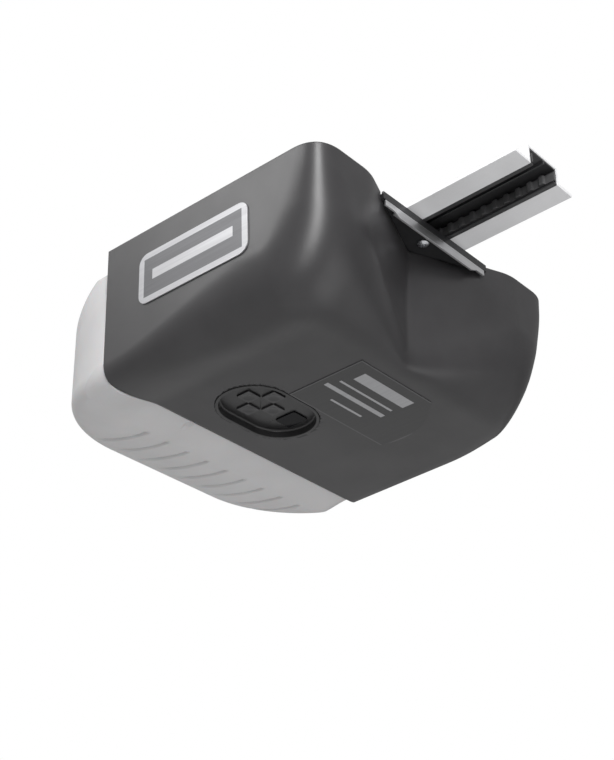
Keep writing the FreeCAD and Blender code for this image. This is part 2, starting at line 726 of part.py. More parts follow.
def gearbox_block(grow, z0, z1):
    """The gearbox's plan: three joined circles round the three axes."""
    step_x, step_y = step_axis()
    motor_x, motor_y = motor_axis()
    block = post(OUTPUT_X, 0, 39.5 + grow, z0, z1)
    block = block.fuse(post(step_x, step_y, 32.5 + grow, z0, z1))
    block = block.fuse(post(motor_x, motor_y, MOTOR_RADIUS - 0.5 + grow, z0, z1))
    return block.removeSplitter()


def gearbox_ears(z0, z1):
    """Screw ears round the gearbox."""
    ears = []
    for x, y in gearbox_screw_places():
        ears.append(post(x, y, 5.0, z0, z1))
    return ears


def gearbox_housing():
    motor_x, motor_y = motor_axis()
    step_x, step_y = step_axis()
    floor = GEARBOX_LOW_Z + 3.0
    cup = gearbox_block(GEARBOX_WALL, GEARBOX_LOW_Z, GEARBOX_LID_Z)
    cup = cup.fuse(gearbox_ears(GEARBOX_LID_Z - 14.0, GEARBOX_LID_Z))
    cup = cup.cut(gearbox_block(0.0, floor, GEARBOX_LID_Z + 1.0))
    cup = cup.cut(post(OUTPUT_X, 0, 8.0, GEARBOX_LOW_Z - 1.0, floor + 1.0))
    cup = cup.cut(post(motor_x, motor_y, 7.0, GEARBOX_LOW_Z - 1.0, floor + 1.0))
    cup = cup.cut(post(step_x, step_y, STEP_PIN_RADIUS, GEARBOX_LOW_Z + 0.5, floor + 1.0))
    for x, y in gearbox_screw_places():
        cup = cup.cut(post(x, y, 2.0, GEARBOX_LID_Z - 12.0, GEARBOX_LID_Z + 1.0))
    return cup.removeSplitter()


def gearbox_lid():
    step_x, step_y = step_axis()
    lid = gearbox_block(GEARBOX_WALL, GEARBOX_LID_Z, GEARBOX_TOP_Z)
    lid = lid.fuse(gearbox_ears(GEARBOX_LID_Z, GEARBOX_TOP_Z))
    lid = lid.cut(post(OUTPUT_X, 0, 8.0, -20.0, 5.0))
    lid = lid.cut(post(step_x, step_y, STEP_PIN_RADIUS, -20.0, GEARBOX_LID_Z + 2.5))
    for x, y in gearbox_screw_places():
        lid = lid.cut(post(x, y, 2.2, -20.0, 5.0))
    return lid.removeSplitter()


def gearbox_screws():
    group = []
    for x, y in gearbox_screw_places():
        group.append(hex_prism(x, y, 7.0, 0.0, 3.0).fuse(post(x, y, 1.95, -16.0, 0.0)).removeSplitter())
    return Part.makeCompound(group)


def bronze_bushes():
    """Four bushes: two carry the output shaft and two carry the motor shaft."""
    x, y = motor_axis()
    slow_bore = SHAFT_RADIUS + RUNNING_GAP
    fast_bore = MOTOR_SHAFT_RADIUS + RUNNING_GAP
    group = [tube(OUTPUT_X, 0, 8.0, slow_bore, GEARBOX_LID_Z, GEARBOX_TOP_Z + 1.4)]
    group.append(tube(OUTPUT_X, 0, 8.0, slow_bore, GEARBOX_LOW_Z, GEARBOX_LOW_Z + 3.0))
    group.append(tube(x, y, 5.5, fast_bore, GEARBOX_LOW_Z - 2.6, GEARBOX_LOW_Z))
    group.append(tube(x, y, 5.5, fast_bore, MOTOR_LOW_Z, MOTOR_LOW_Z + 3.5))
    return Part.makeCompound(group)


# ---------------------------------------------------------------- motor

def motor_can():
    x, y = motor_axis()
    can = post(x, y, MOTOR_RADIUS, MOTOR_LOW_Z, GEARBOX_LOW_Z - 2.6)
    low_edge = edges_where(can, lambda p: p.z < MOTOR_LOW_Z + 0.1)
    can = can.makeFillet(3.0, low_edge)
    can = can.cut(post(x, y, MOTOR_RADIUS - MOTOR_SKIN, MOTOR_LOW_Z + 2.0, 0.0))
    for index in range(6):
        turn = math.pi / 3.0 * index
        vent_x = x + 17.0 * math.cos(turn)
        vent_y = y + 17.0 * math.sin(turn)
        can = can.cut(post(vent_x, vent_y, 3.0, MOTOR_LOW_Z - 1.0, -80.0))
    return can.cut(post(x, y, 5.5, MOTOR_LOW_Z - 1.0, -80.0))


def motor_front_plate():
    x, y = motor_axis()
    plate = post(x, y, MOTOR_RADIUS, GEARBOX_LOW_Z - 2.6, GEARBOX_LOW_Z)
    return plate.cut(post(x, y, 5.5, -60.0, 0.0))


def motor_magnets():
    x, y = motor_axis()
    ring = tube(x, y, MOTOR_RADIUS - MOTOR_SKIN, MAGNET_RADIUS, -82.0, -46.0)
    gap = box(x - 40.0, x + 40.0, y - 9.0, y + 9.0, -100.0, 0.0)
    return Part.makeCompound(ring.cut(gap).Solids)


def motor_shaft():
    x, y = motor_axis()
    return post(x, y, MOTOR_SHAFT_RADIUS, -92.5, FAST_GEAR_Z[1] + 1.6)


def motor_armature():
    """The slotted iron stack on the motor shaft."""
    x, y = motor_axis()
    stack = post(x, y, ARMATURE_RADIUS, -80.0, -50.0)
    poles = 12
    for index in range(poles):
        turn = 2.0 * math.pi * index / poles
        slot = box(12.0, ARMATURE_RADIUS + 1.0, -1.2, 1.2, -81.0, -49.0)
        bulb = post(14.0, 0, 2.6, -81.0, -49.0)
        cutter = slot.fuse(bulb)
        cutter.rotate(vec(0, 0, 0), VERTICAL, math.degrees(turn))
        cutter.translate(vec(x, y, 0))
        stack = stack.cut(cutter)
    return stack.cut(post(x, y, MOTOR_SHAFT_RADIUS, -90.0, 0.0)).removeSplitter()


def motor_commutator():
    x, y = motor_axis()
    drum = tube(x, y, 8.5, MOTOR_SHAFT_RADIUS, -49.0, -40.5)
    for index in range(12):
        slit = box(7.4, 10.0, -0.3, 0.3, -50.0, -40.0)
        slit.rotate(vec(0, 0, 0), VERTICAL, 30.0 * index)
        slit.translate(vec(x, y, 0))
        drum = drum.cut(slit)
    return drum


def motor_brushes():
    """Two carbon blocks in their boxes, one each side of the commutator."""
    x, y = motor_axis()
    group = []
    for side in (-1.0, 1.0):
        near = x + side * 8.8
        far = x + side * 22.0
        group.append(box(min(near, far), max(near, far), y - 3.0, y + 3.0, -45.6, -40.0))
    return Part.makeCompound(group)


def encoder_disc():
    x, y = motor_axis()
    disc = tube(x, y, 14.0, MOTOR_SHAFT_RADIUS, -91.4, -90.4)
    for index in range(12):
        slot = box(9.0, 12.4, -1.0, 1.0, -92.0, -90.0)
        slot.rotate(vec(0, 0, 0), VERTICAL, 30.0 * index)
        slot.translate(vec(x, y, 0))
        disc = disc.cut(slot)
    return disc


def encoder_sensor():
    """A forked light gate under the motor that straddles the disc's rim."""
    x, y = motor_axis()
    fork = box(x + 9.0, x + 20.0, y - 5.0, y + 5.0, -94.4, MOTOR_LOW_Z - 0.02)
    return fork.cut(box(x + 8.0, x + 15.5, y - 6.0, y + 6.0, -92.6, -89.2))


# ---------------------------------------------------------------- power and electronics

def board_screw_places():
    return [(-76.5, -56.5), (-76.5, 34.5), (22.0, -54.0), (22.0, 32.0)]


def power_gland():
    """The bushed inlet for the mains lead, screwed through the plate."""
    body = post(GLAND_X, GLAND_Y, 7.9, -12.0, 0.05)
    body = body.fuse(hex_prism(GLAND_X, GLAND_Y, 20.0, 0.0, 4.0))
    dome = Part.makeCone(8.6, 6.2, 5.0, vec(GLAND_X, GLAND_Y, 4.0), VERTICAL)
    body = body.fuse(dome)
    return body.cut(post(GLAND_X, GLAND_Y, 3.6, -20.0, 20.0)).removeSplitter()


def wall_control_terminals():
    """A push-in terminal block that stands up through the plate."""
    block = box(TERMINAL_X - 6.0, TERMINAL_X + 6.0, TERMINAL_Y - 18.0, TERMINAL_Y + 18.0, -10.0, 6.0)
    ledge = box(TERMINAL_X - 8.0, TERMINAL_X + 8.0, TERMINAL_Y - 20.0, TERMINAL_Y + 20.0, 0.0, 2.0)
    block = block.fuse(ledge)
    for index in range(5):
        y = TERMINAL_Y + 7.0 * (index - 2)
        block = block.cut(post(TERMINAL_X - 2.0, y, 1.1, 0.0, 7.0))
        block = block.cut(box(TERMINAL_X + 1.5, TERMINAL_X + 4.5, y - 1.6, y + 1.6, 4.5, 7.0))
    return block.removeSplitter()


def transformer_core():
    """The laminated core: a window frame with a middle limb, on two mounting feet."""
    x = TRANSFORMER_X
    y = TRANSFORMER_Y
    top = -PLATE_THICKNESS - 0.1
    core = box(x - 27.0, x + 27.0, y - 12.0, y + 12.0, top - 46.0, top)
    for side in (-1.0, 1.0):
        near = x + side * 9.0
        far = x + side * 18.0
        core = core.cut(box(min(near, far), max(near, far), y - 13.0, y + 13.0, top - 37.0, top - 9.0))
    return core


def transformer_coil():
    x = TRANSFORMER_X
    y = TRANSFORMER_Y
    top = -PLATE_THICKNESS - 0.1
    coil = box(x - 17.8, x + 17.8, y - 20.0, y + 20.0, top - 36.8, top - 9.2)
    upright = edges_where(coil, lambda p: abs(abs(p.x - x) - 17.8) < 0.1 and abs(abs(p.y - y) - 20.0) < 0.1)
    coil = coil.makeFillet(6.0, upright)
    return coil.cut(box(x - 9.05, x + 9.05, y - 12.05, y + 12.05, -80.0, 0.0))


def logic_board():
    board = box(-80.0, 28.0, -60.0, 38.0, BOARD_Z, BOARD_Z + BOARD_THICKNESS)
    for x, y in board_screw_places():
        board = board.cut(post(x, y, 1.7, -100.0, -80.0))
    return board


def board_screws():
    group = []
    for x, y in board_screw_places():
        head_z = BOARD_Z + BOARD_THICKNESS
        head = post(x, y, 2.8, head_z, head_z + 2.0)
        group.append(head.fuse(post(x, y, 1.2, BOARD_Z - 6.0, head_z)).removeSplitter())
    return Part.makeCompound(group)


def board_capacitors():
    """Two electrolytic cans on the board."""
    top = BOARD_Z + BOARD_THICKNESS
    cans = [post(x, -40.0, 8.0, top, top + 26.0) for x in (-56.0, -38.0)]
    return Part.makeCompound(cans)


def board_relays():
    """Two relay cubes on the board."""
    top = BOARD_Z + BOARD_THICKNESS
    group = []
    for x in (-66.0, -44.0):
        relay = box(x, x + 19.0, 8.0, 23.0, top, top + 15.5)
        group.append(relay.makeFillet(0.8, relay.Edges))
    return Part.makeCompound(group)


def board_heatsink():
    """A finned heat sink for the motor drive."""
    top = BOARD_Z + BOARD_THICKNESS
    sink = box(-12.0, 18.0, -50.0, -46.0, top, top + 24.0)
    for index in range(6):
        x = -12.0 + 5.6 * index
        sink = sink.fuse(box(x, x + 1.6, -46.1, -34.0, top, top + 24.0))
    return sink.removeSplitter()


def key_places():
    """The four keys sit in a cross."""
    return [
        ("key_set", PAD_X, KEY_CENTRE_Y - KEY_REACH),
        ("key_up", PAD_X + KEY_REACH, KEY_CENTRE_Y),
        ("key_down", PAD_X - KEY_REACH, KEY_CENTRE_Y),
        ("key_select", PAD_X, KEY_CENTRE_Y + KEY_REACH),
    ]


def key_switches():
    """Four tact switches under the board, one behind each key."""
    group = []
    for name, x, y in key_places():
        body = box(x - 3.0, x + 3.0, y - 3.0, y + 3.0, BOARD_Z - 3.6, BOARD_Z)
        group.append(body.fuse(post(x, y, 1.6, BOARD_Z - 4.4, BOARD_Z - 3.5)).removeSplitter())
    return Part.makeCompound(group)


def display_module():
    low = PAD_FLOOR_Z + 1.0
    wide = DISPLAY_HALF_X - 0.4
    deep = DISPLAY_HALF_Y - 0.4
    return box(PAD_X - wide, PAD_X + wide, DISPLAY_Y - deep, DISPLAY_Y + deep, low, BOARD_Z)


def display_window():
    face = PAD_FLOOR_Z - 1.0
    wide = DISPLAY_HALF_X
    deep = DISPLAY_HALF_Y
    pane = box(PAD_X - wide, PAD_X + wide, DISPLAY_Y - deep, DISPLAY_Y + deep, face, PAD_FLOOR_Z + 0.8)
    middle = (face + PAD_FLOOR_Z + 0.8) / 2.0
    corners = edges_where(pane, lambda p: abs(p.z - middle) < 0.1)
    return pane.makeFillet(1.5, corners)


def control_pad():
    """A sunk oval tray: a rim flush with the cover, a low wall, and a floor with openings."""
    inner = PAD_FLOOR_Z + PAD_FLOOR
    pad = rounded_bar(PAD_X, PAD_Y, PAD_LENGTH, PAD_WIDTH, TROUGH_Z - 0.5, inner)
    flange_z = TROUGH_Z + COVER_WALL + 0.05
    pad = pad.fuse(rounded_bar(PAD_X, PAD_Y, PAD_LENGTH + 5.0, PAD_WIDTH + 5.0, flange_z, flange_z + 1.4))
    clear = 2.0 * PAD_RIM
    hollow = rounded_bar(PAD_X, PAD_Y, PAD_LENGTH - clear, PAD_WIDTH - clear, -120.0, PAD_FLOOR_Z)
    floor_edge = edges_where(hollow, lambda p: p.z > PAD_FLOOR_Z - 0.1)
    pad = pad.cut(hollow.makeFillet(1.5, floor_edge))
    reach = KEY_SIZE / 2.0 + KEY_GAP
    for name, x, y in key_places():
        pad = pad.cut(box(x - reach, x + reach, y - reach, y + reach, PAD_FLOOR_Z - 1.0, -90.0))
    low = PAD_FLOOR_Z - 1.0
    high = -90.0
    wide = DISPLAY_HALF_X + 0.05
    deep = DISPLAY_HALF_Y + 0.05
    pane = box(PAD_X - wide, PAD_X + wide, DISPLAY_Y - deep, DISPLAY_Y + deep, low, high)
    upright = edges_where(pane, lambda p: abs(p.z - (low + high) / 2.0) < 1.0)
    return pad.cut(pane.makeFillet(1.5, upright)).removeSplitter()


def control_key(x, y):
    """One key: a scooped face just proud of the floor, on a stem up to its switch."""
    half = KEY_SIZE / 2.0
    face = PAD_FLOOR_Z - 1.2
    back = PAD_FLOOR_Z + 2.6
    key = box(x - half, x + half, y - half, y + half, face, back)
    scoop = Part.makeSphere(12.0, vec(x, y, face - 11.0))
    key = key.cut(scoop)
    return key.fuse(post(x, y, 2.2, back - 0.1, BOARD_Z - 6.1)).removeSplitter()


# ---------------------------------------------------------------- light

def lens_outline(rear_pull, side_pull, inset, z):
    """The lens seen from above at one height: straight sides, two big rear corners."""
    front = LENS_FRONT_X + (1.0 if inset else 0.0)
    half = LENS_HALF_WIDTH - inset
    centre_x = LENS_REAR_X + LENS_CORNER
    centre_y = LENS_HALF_WIDTH - LENS_CORNER
    reach_x = LENS_CORNER - inset - rear_pull
    reach_y = half - centre_y - side_pull
    round_off = 0.5523
    edges = []
    ends = []
    for side in (1.0, -1.0):
        along_start = vec(centre_x, side * (centre_y + reach_y), z)
        along_pull = vec(centre_x - round_off * reach_x, side * (centre_y + reach_y), z)
        across_pull = vec(centre_x - reach_x, side * (centre_y + round_off * reach_y), z)
        across_end = vec(centre_x - reach_x, side * centre_y, z)
        corner = Part.BezierCurve()
        corner.setPoles([along_start, along_pull, across_pull, across_end])
        ends.append((along_start, corner.toShape(), across_end))
    right, left = ends
    front_right = vec(front, right[0].y, z)
    front_left = vec(front, left[0].y, z)
    edges.append(line(front_right, right[0]))
    edges.append(right[1])
    edges.append(line(right[2], left[2]))
    edges.append(left[1])
    edges.append(line(left[0], front_left))
    edges.append(line(front_left, front_right))
    return Part.Wire(Part.__sortEdges__(edges))


def lens_block(inset):
    """The lens as a full block: soft top and rear, and a bottom that sweeps up to the rear."""
    top = LENS_TOP_Z - inset
    low = COVER_LOW_Z + 1.5 + inset
    steps = 5
    outlines = []
    for index in range(steps + 1):
        turn = math.pi / 2.0 * index / steps
        pull = 1.0 - math.sin(turn)
        z = top - LENS_TOP_DROP * (1.0 - math.cos(turn))
        outlines.append(lens_outline(LENS_TOP_REACH * pull, LENS_SIDE_REACH * pull, inset, z))
    for index in range(steps + 1):
        turn = math.pi / 2.0 * index / steps
        pull = 1.0 - math.cos(turn)
        z = low + LENS_LOW_RISE * (1.0 - math.sin(turn))
        outlines.append(lens_outline(LENS_LOW_REACH * pull, LENS_SIDE_REACH * pull, inset, z))
    block = Part.makeLoft(outlines, True, True)
    return block.common(lens_sides(inset + 0.8)).cut(lens_ramp(inset))


def lens_sides(inset):
    """The cover's leaning sides, carried straight on over the lens."""
    x0 = LENS_REAR_X - 20.0
    high = side_y(REAR_X, 2.0) - inset
    low = side_y(REAR_X, COVER_LOW_Z - 5.0) - inset
    points = [vec(x0, -high, 2.0), vec(x0, high, 2.0)]
    points += [vec(x0, low, COVER_LOW_Z - 5.0), vec(x0, -low, COVER_LOW_Z - 5.0)]
    return prism(points, vec(REAR_X + 5.0 - x0, 0, 0))


def lens_ramp(inset):
    """Takes the lens's bottom down from the cover's underside over a short ramp."""
    solid = trough_cutter(inset)
    solid.translate(vec(LENS_REAR_X - REAR_X - 20.0, 0, 0))
    far = HALF_WIDTH + 20.0
    start = TROUGH_Z + inset + 0.3
    points = [vec(REAR_X + 10.0, -far, start), vec(LENS_FRONT_X - 2.0, -far, start)]
    points += [vec(LENS_RAMP_X, -far, COVER_LOW_Z + 1.4 + inset), vec(LENS_RAMP_X, -far, COVER_LOW_Z - 20.0)]
    points.append(vec(REAR_X + 10.0, -far, COVER_LOW_Z - 20.0))
    return solid.common(prism(points, vec(0, 2.0 * far, 0)))


def lens_knuckle_places():
    return [-92.0, 0.0, 92.0]


def light_lens():
    """The translucent shell, with three hinge knuckles along its top edge and two snap tabs."""
    shell = lens_block(0.0).cut(lens_block(LENS_WALL))
    for y in lens_knuckle_places():
        knuckle = bar_y(HINGE_X, HINGE_Z, KNUCKLE_RADIUS, y - 6.0, y + 6.0)
        web = box(HINGE_X - 1.5, HINGE_X + 1.5, y - 6.0, y + 6.0, LENS_TOP_Z - 1.0, HINGE_Z - 2.0)
        shell = shell.fuse([knuckle, web])
        shell = shell.cut(bar_y(HINGE_X, HINGE_Z, HINGE_ROD_RADIUS + 0.06, y - 10.0, y + 10.0))
    for y in (-30.0, 30.0):
        tab = box(LENS_FRONT_X - 3.0, REAR_X + 3.0, y - 6.5, y + 6.5, TROUGH_Z + 0.35, TROUGH_Z + 2.15)
        shell = shell.fuse(tab)
    return shell.removeSplitter()


def hinge_rail():
    """The black strip behind the plate's rear flange, with lugs that hold the hinge rod."""
    rail = box(REAR_X - 1.5, REAR_X + 3.9, -126.0, 126.0, HINGE_Z - KNUCKLE_RADIUS, -1.7)
    for y in lens_knuckle_places():
        for side in (-1.0, 1.0):
            middle = y + side * 9.0
            lug = bar_y(HINGE_X, HINGE_Z, KNUCKLE_RADIUS, middle - 2.4, middle + 2.4)
            arm = box(HINGE_X, REAR_X, middle - 2.4, middle + 2.4, HINGE_Z - 2.6, HINGE_Z + 2.6)
            rail = rail.fuse([lug, arm])
    return rail.cut(bar_y(HINGE_X, HINGE_Z, HINGE_ROD_RADIUS, -140.0, 140.0)).removeSplitter()


def hinge_rod():
    return bar_y(HINGE_X, HINGE_Z, HINGE_ROD_RADIUS, -105.0, 105.0)


def rear_bulkhead():
    """The white reflector that closes the cover's rear behind the bulbs."""
    x0 = REAR_X + 1.5
    plate = box(x0, x0 + 1.6, -126.0, 126.0, -96.5, -8.4)
    corners = edges_where(plate, lambda p: abs(abs(p.y) - 126.0) < 0.1 and p.z < -90.0)
    plate = plate.makeFillet(18.0, corners)
    for side in (-1.0, 1.0):
        plate = plate.cut(bar_x(side * LAMP_Y, LAMP_Z, SOCKET_RADIUS - 2.0, x0 - 1.0, x0 + 3.0))
    return plate


def lamp_socket(side):
    """One screw socket: a cup behind the bulkhead with a floor contact."""
    y = side * LAMP_Y
    x0 = REAR_X + 3.15
    cup = bar_x(y, LAMP_Z, SOCKET_RADIUS, x0, x0 + 32.0)
    cup = cup.cut(bar_x(y, LAMP_Z, 13.7, x0 - 1.0, x0 + 26.5))
    return cup.fuse(bar_x(y, LAMP_Z, 3.0, x0 + 25.8, x0 + 27.0)).removeSplitter()


def bulb_base(side):
    """The threaded metal cap of one bulb."""
    y = side * LAMP_Y
    cap = bar_x(y, LAMP_Z, 12.6, REAR_X + 2.0, REAR_X + 25.0)
    for index in range(5):
        ring = Part.makeTorus(12.6, 0.8, vec(REAR_X + 6.0 + 3.6 * index, y, LAMP_Z), ALONG)
        cap = cap.fuse(ring)
    return cap.fuse(Part.makeCone(9.0, 4.5, 3.6, vec(REAR_X + 25.0, y, LAMP_Z), ALONG)).removeSplitter()


def bulb_globe(side):
    """The white body of one bulb: a flared neck under a domed diffuser, as one turned shape."""
    y = side * LAMP_Y
    back_x = BULB_CENTRE_X - BULB_RADIUS
    widest = vec(BULB_CENTRE_X, y, LAMP_Z + BULB_RADIUS)
    shoulder_angle = math.asin(BULB_SHOULDER / BULB_RADIUS)
    middle_x = BULB_CENTRE_X + BULB_RADIUS * math.sin(shoulder_angle)
    shoulder = vec(middle_x, y, LAMP_Z + BULB_RADIUS * math.cos(shoulder_angle))
    neck = vec(REAR_X + 2.0, y, LAMP_Z + BULB_NECK_RADIUS)
    back = vec(back_x, y, LAMP_Z)
    foot = vec(REAR_X + 2.0, y, LAMP_Z)
    dome = Part.Arc(back, widest, shoulder).toShape()
    edges = [dome, line(shoulder, neck), line(neck, foot), line(foot, back)]
    face = Part.Face(Part.Wire(edges))
    return face.revolve(vec(0, y, LAMP_Z), ALONG, 360.0)


# ---------------------------------------------------------------- plates on the outside

def side_badge():
    """A thin plate on the left side of the cover, with rounded corners."""
    lean = math.atan(SIDE_DRAFT)
    y = -side_y(0.0, BADGE_MIDDLE_Z)
    start = vec(BADGE_FRONT_X - BADGE_LENGTH, -1.0, -BADGE_HEIGHT / 2.0)
    plate = Part.makeBox(BADGE_LENGTH, 1.0, BADGE_HEIGHT, start)
    corners = edges_where(plate, lambda p: abs(p.y + 0.5) < 0.1)
    plate = plate.makeFillet(BADGE_CORNER, corners)
    plate.rotate(vec(0, 0, 0), ALONG, math.degrees(lean))
    plate.rotate(vec(0, 0, 0), VERTICAL, math.degrees(math.atan(SIDE_TAPER)))
    plate.translate(vec(0, y - 0.02, BADGE_MIDDLE_Z))
    return plate


def under_label():
    """A thin panel on the underside, with one curved side."""
    z = TROUGH_Z - LABEL_THICKNESS - 0.02
    rear_left = vec(LABEL_REAR_X, LABEL_LEFT_Y, z)
    rear_right = vec(LABEL_REAR_X, LABEL_RIGHT_Y, z)
    crown = vec(10.0, LABEL_RIGHT_Y + 2.0, z)
    shoulder = vec(34.0, LABEL_RIGHT_Y - 10.0, z)
    corner = vec(LABEL_FRONT_X, LABEL_RIGHT_Y - 24.0, z)
    front_left = vec(LABEL_FRONT_X, LABEL_LEFT_Y, z)
    bend = Part.Arc(rear_right, crown, shoulder).toShape()
    edges = [line(rear_left, rear_right), bend, line(shoulder, corner)]
    edges.append(line(corner, front_left))
    edges.append(line(front_left, rear_left))
    return outline_prism(edges, vec(0, 0, LABEL_THICKNESS))


def main():
    os.makedirs("parts", exist_ok=True)
    save("housing_cover", housing_cover())
    save("cover_screws", cover_screws())
    save("chassis_plate", chassis_plate())
    save("rail_section", rail_section())
    save("belt_guide", belt_guide())
    save("drive_belt", drive_belt())
    save("drive_pulley", drive_pulley())
    save("rail_clamp", rail_clamp())
    save("clamp_bolts", clamp_bolts())
    save("clamp_nuts", clamp_nuts())
    save("rail_bracket", rail_bracket())
    save("bracket_strip", bracket_strip())
    save("bracket_screw", bracket_screw())
    save("output_gear", output_gear())
    save("output_shaft", output_shaft())
    save("step_gear", step_gear())
    save("step_pin", step_pin())
    save("motor_pinion", motor_pinion())
    save("gearbox_housing", gearbox_housing())
    save("gearbox_lid", gearbox_lid())
    save("gearbox_screws", gearbox_screws())
    save("bronze_bushes", bronze_bushes())
    save("motor_can", motor_can())
    save("motor_front_plate", motor_front_plate())
    save("motor_magnets", motor_magnets())
    save("motor_shaft", motor_shaft())
    save("motor_armature", motor_armature())
    save("motor_commutator", motor_commutator())
    save("motor_brushes", motor_brushes())
    save("encoder_disc", encoder_disc())
    save("encoder_sensor", encoder_sensor())
    save("power_gland", power_gland())
    save("wall_control_terminals", wall_control_terminals())
    save("transformer_core", transformer_core())
    save("transformer_coil", transformer_coil())
    save("logic_board", logic_board())
    save("board_screws", board_screws())
    save("board_capacitors", board_capacitors())
    save("board_relays", board_relays())
    save("board_heatsink", board_heatsink())
    save("key_switches", key_switches())
    save("display_module", display_module())
    save("display_window", display_window())
    save("control_pad", control_pad())
    for name, x, y in key_places():
        save(name, control_key(x, y))
    save("light_lens", light_lens())
    save("hinge_rail", hinge_rail())
    save("hinge_rod", hinge_rod())
    save("rear_bulkhead", rear_bulkhead())
    for side, word in ((-1.0, "left"), (1.0, "right")):
        save("lamp_socket_" + word, lamp_socket(side))
        save("bulb_base_" + word, bulb_base(side))
        save("bulb_globe_" + word, bulb_globe(side))
    save("side_badge", side_badge())
    save("under_label", under_label())


main()
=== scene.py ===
import math

import bmesh
import bpy
import numpy as np
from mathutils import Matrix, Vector


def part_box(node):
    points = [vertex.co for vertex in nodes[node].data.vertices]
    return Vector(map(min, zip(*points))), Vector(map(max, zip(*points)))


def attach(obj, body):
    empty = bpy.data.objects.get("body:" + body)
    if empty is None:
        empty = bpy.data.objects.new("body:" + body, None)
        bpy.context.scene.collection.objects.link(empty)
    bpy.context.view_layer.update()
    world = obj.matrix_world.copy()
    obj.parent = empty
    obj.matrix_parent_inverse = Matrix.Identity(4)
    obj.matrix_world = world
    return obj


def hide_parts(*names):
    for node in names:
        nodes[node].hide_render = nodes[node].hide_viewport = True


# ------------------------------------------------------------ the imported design
# Every piece is placed from the CAD nodes: this is the opener's head with the
# first stretch of its rail, hanging from its chassis plate, which lies at Z 0.
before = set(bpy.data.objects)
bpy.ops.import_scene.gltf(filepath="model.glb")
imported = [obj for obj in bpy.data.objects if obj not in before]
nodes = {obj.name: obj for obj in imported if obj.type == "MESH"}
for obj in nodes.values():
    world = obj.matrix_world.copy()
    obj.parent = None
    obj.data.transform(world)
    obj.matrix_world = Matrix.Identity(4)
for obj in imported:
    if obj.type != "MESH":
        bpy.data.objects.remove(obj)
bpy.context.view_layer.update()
MM = 0.001


# ------------------------------------------------------------ chassis plate
# The steel plate that everything hangs from. It is pressed from galvanised sheet,
# so its zinc coat shows a faint crystal pattern, and four screws hold the cover to it.
def shader_group(name, inputs, outputs):
    """An empty node group with named sockets, and a function that adds nodes to it."""
    group = bpy.data.node_groups.new(name, "ShaderNodeTree")
    for label, kind, value in inputs:
        socket = group.interface.new_socket(name=label, in_out="INPUT", socket_type="NodeSocket" + kind)
        socket.default_value = value
    for label, kind in outputs:
        group.interface.new_socket(name=label, in_out="OUTPUT", socket_type="NodeSocket" + kind)
    start = group.nodes.new("NodeGroupInput")
    end = group.nodes.new("NodeGroupOutput")
    return group, start.outputs, end.inputs


def add_node(tree, kind, values=(), **settings):
    """Adds one node, sets its properties, and fills inputs with values or links."""
    node = tree.nodes.new("ShaderNode" + kind)
    for key, value in settings.items():
        setattr(node, key, value)
    for key, value in dict(values).items():
        socket = node.inputs[key]
        if isinstance(value, bpy.types.NodeSocket):
            tree.links.new(value, socket)
        else:
            socket.default_value = value
    return node


def mix_colours(tree, factor, first, second, blend="MIX"):
    """A colour mix, used by every group below."""
    node = add_node(tree, "Mix", data_type="RGBA", blend_type=blend)
    for socket, value in ((node.inputs[0], factor), (node.inputs[6], first), (node.inputs[7], second)):
        if isinstance(value, bpy.types.NodeSocket):
            tree.links.new(value, socket)
        else:
            socket.default_value = value
    return node.outputs[2]


def zinc_group():
    """Crystals of a hot-dipped zinc coat: each cell has its own tone and gloss."""
    sockets = [("Cells", "Float", 260.0), ("Dark", "Color", (0.30, 0.31, 0.32, 1)),
               ("Light", "Color", (0.62, 0.63, 0.64, 1)), ("Dull", "Float", 0.46), ("Bright", "Float", 0.26)]
    group, given, wanted = shader_group("zinc_coat", sockets,
                                        [("Color", "Color"), ("Roughness", "Float"), ("Height", "Float")])
    place = add_node(group, "TexCoord").outputs["Object"]
    bent = add_node(group, "TexNoise", {"Vector": place, "Scale": 90.0, "Detail": 3.0}).outputs["Color"]
    warped = mix_colours(group, 0.02, place, bent, "ADD")
    cells = add_node(group, "TexVoronoi", {"Vector": warped, "Scale": given["Cells"]})
    tone = add_node(group, "SeparateColor", {0: cells.outputs["Color"]}).outputs[0]
    fine = add_node(group, "TexNoise", {"Vector": place, "Scale": 2200.0, "Detail": 2.0}).outputs[0]
    group.links.new(mix_colours(group, tone, given["Dark"], given["Light"]), wanted["Color"])
    gloss = add_node(group, "Mix", {0: tone, 2: given["Dull"], 3: given["Bright"]}).outputs[0]
    group.links.new(gloss, wanted["Roughness"])
    group.links.new(fine, wanted["Height"])
    return group


def surface_material(name, group, values, base, metallic=0.0, bump=0.02, **finish):
    """A Principled material whose colour, gloss and relief come from one effect group."""
    material = bpy.data.materials.new(name)
    material.use_nodes = True
    tree = material.node_tree
    shader = tree.nodes["Principled BSDF"]
    shader.inputs["Base Color"].default_value = (*base, 1.0)
    shader.inputs["Metallic"].default_value = metallic
    for key, value in finish.items():
        shader.inputs[key.replace("_", " ")].default_value = value
    effect = tree.nodes.new("ShaderNodeGroup")
    effect.node_tree = group
    for key, value in values.items():
        effect.inputs[key].default_value = value
    tree.links.new(effect.outputs["Color"], shader.inputs["Base Color"])
    tree.links.new(effect.outputs["Roughness"], shader.inputs["Roughness"])
    relief = add_node(tree, "Bump", {"Height": effect.outputs["Height"], "Strength": 1.0,
                                     "Distance": bump * MM})
    tree.links.new(relief.outputs[0], shader.inputs["Normal"])
    return material


WELD_GAP = 0.004
SHARP_ANGLE = math.radians(40)


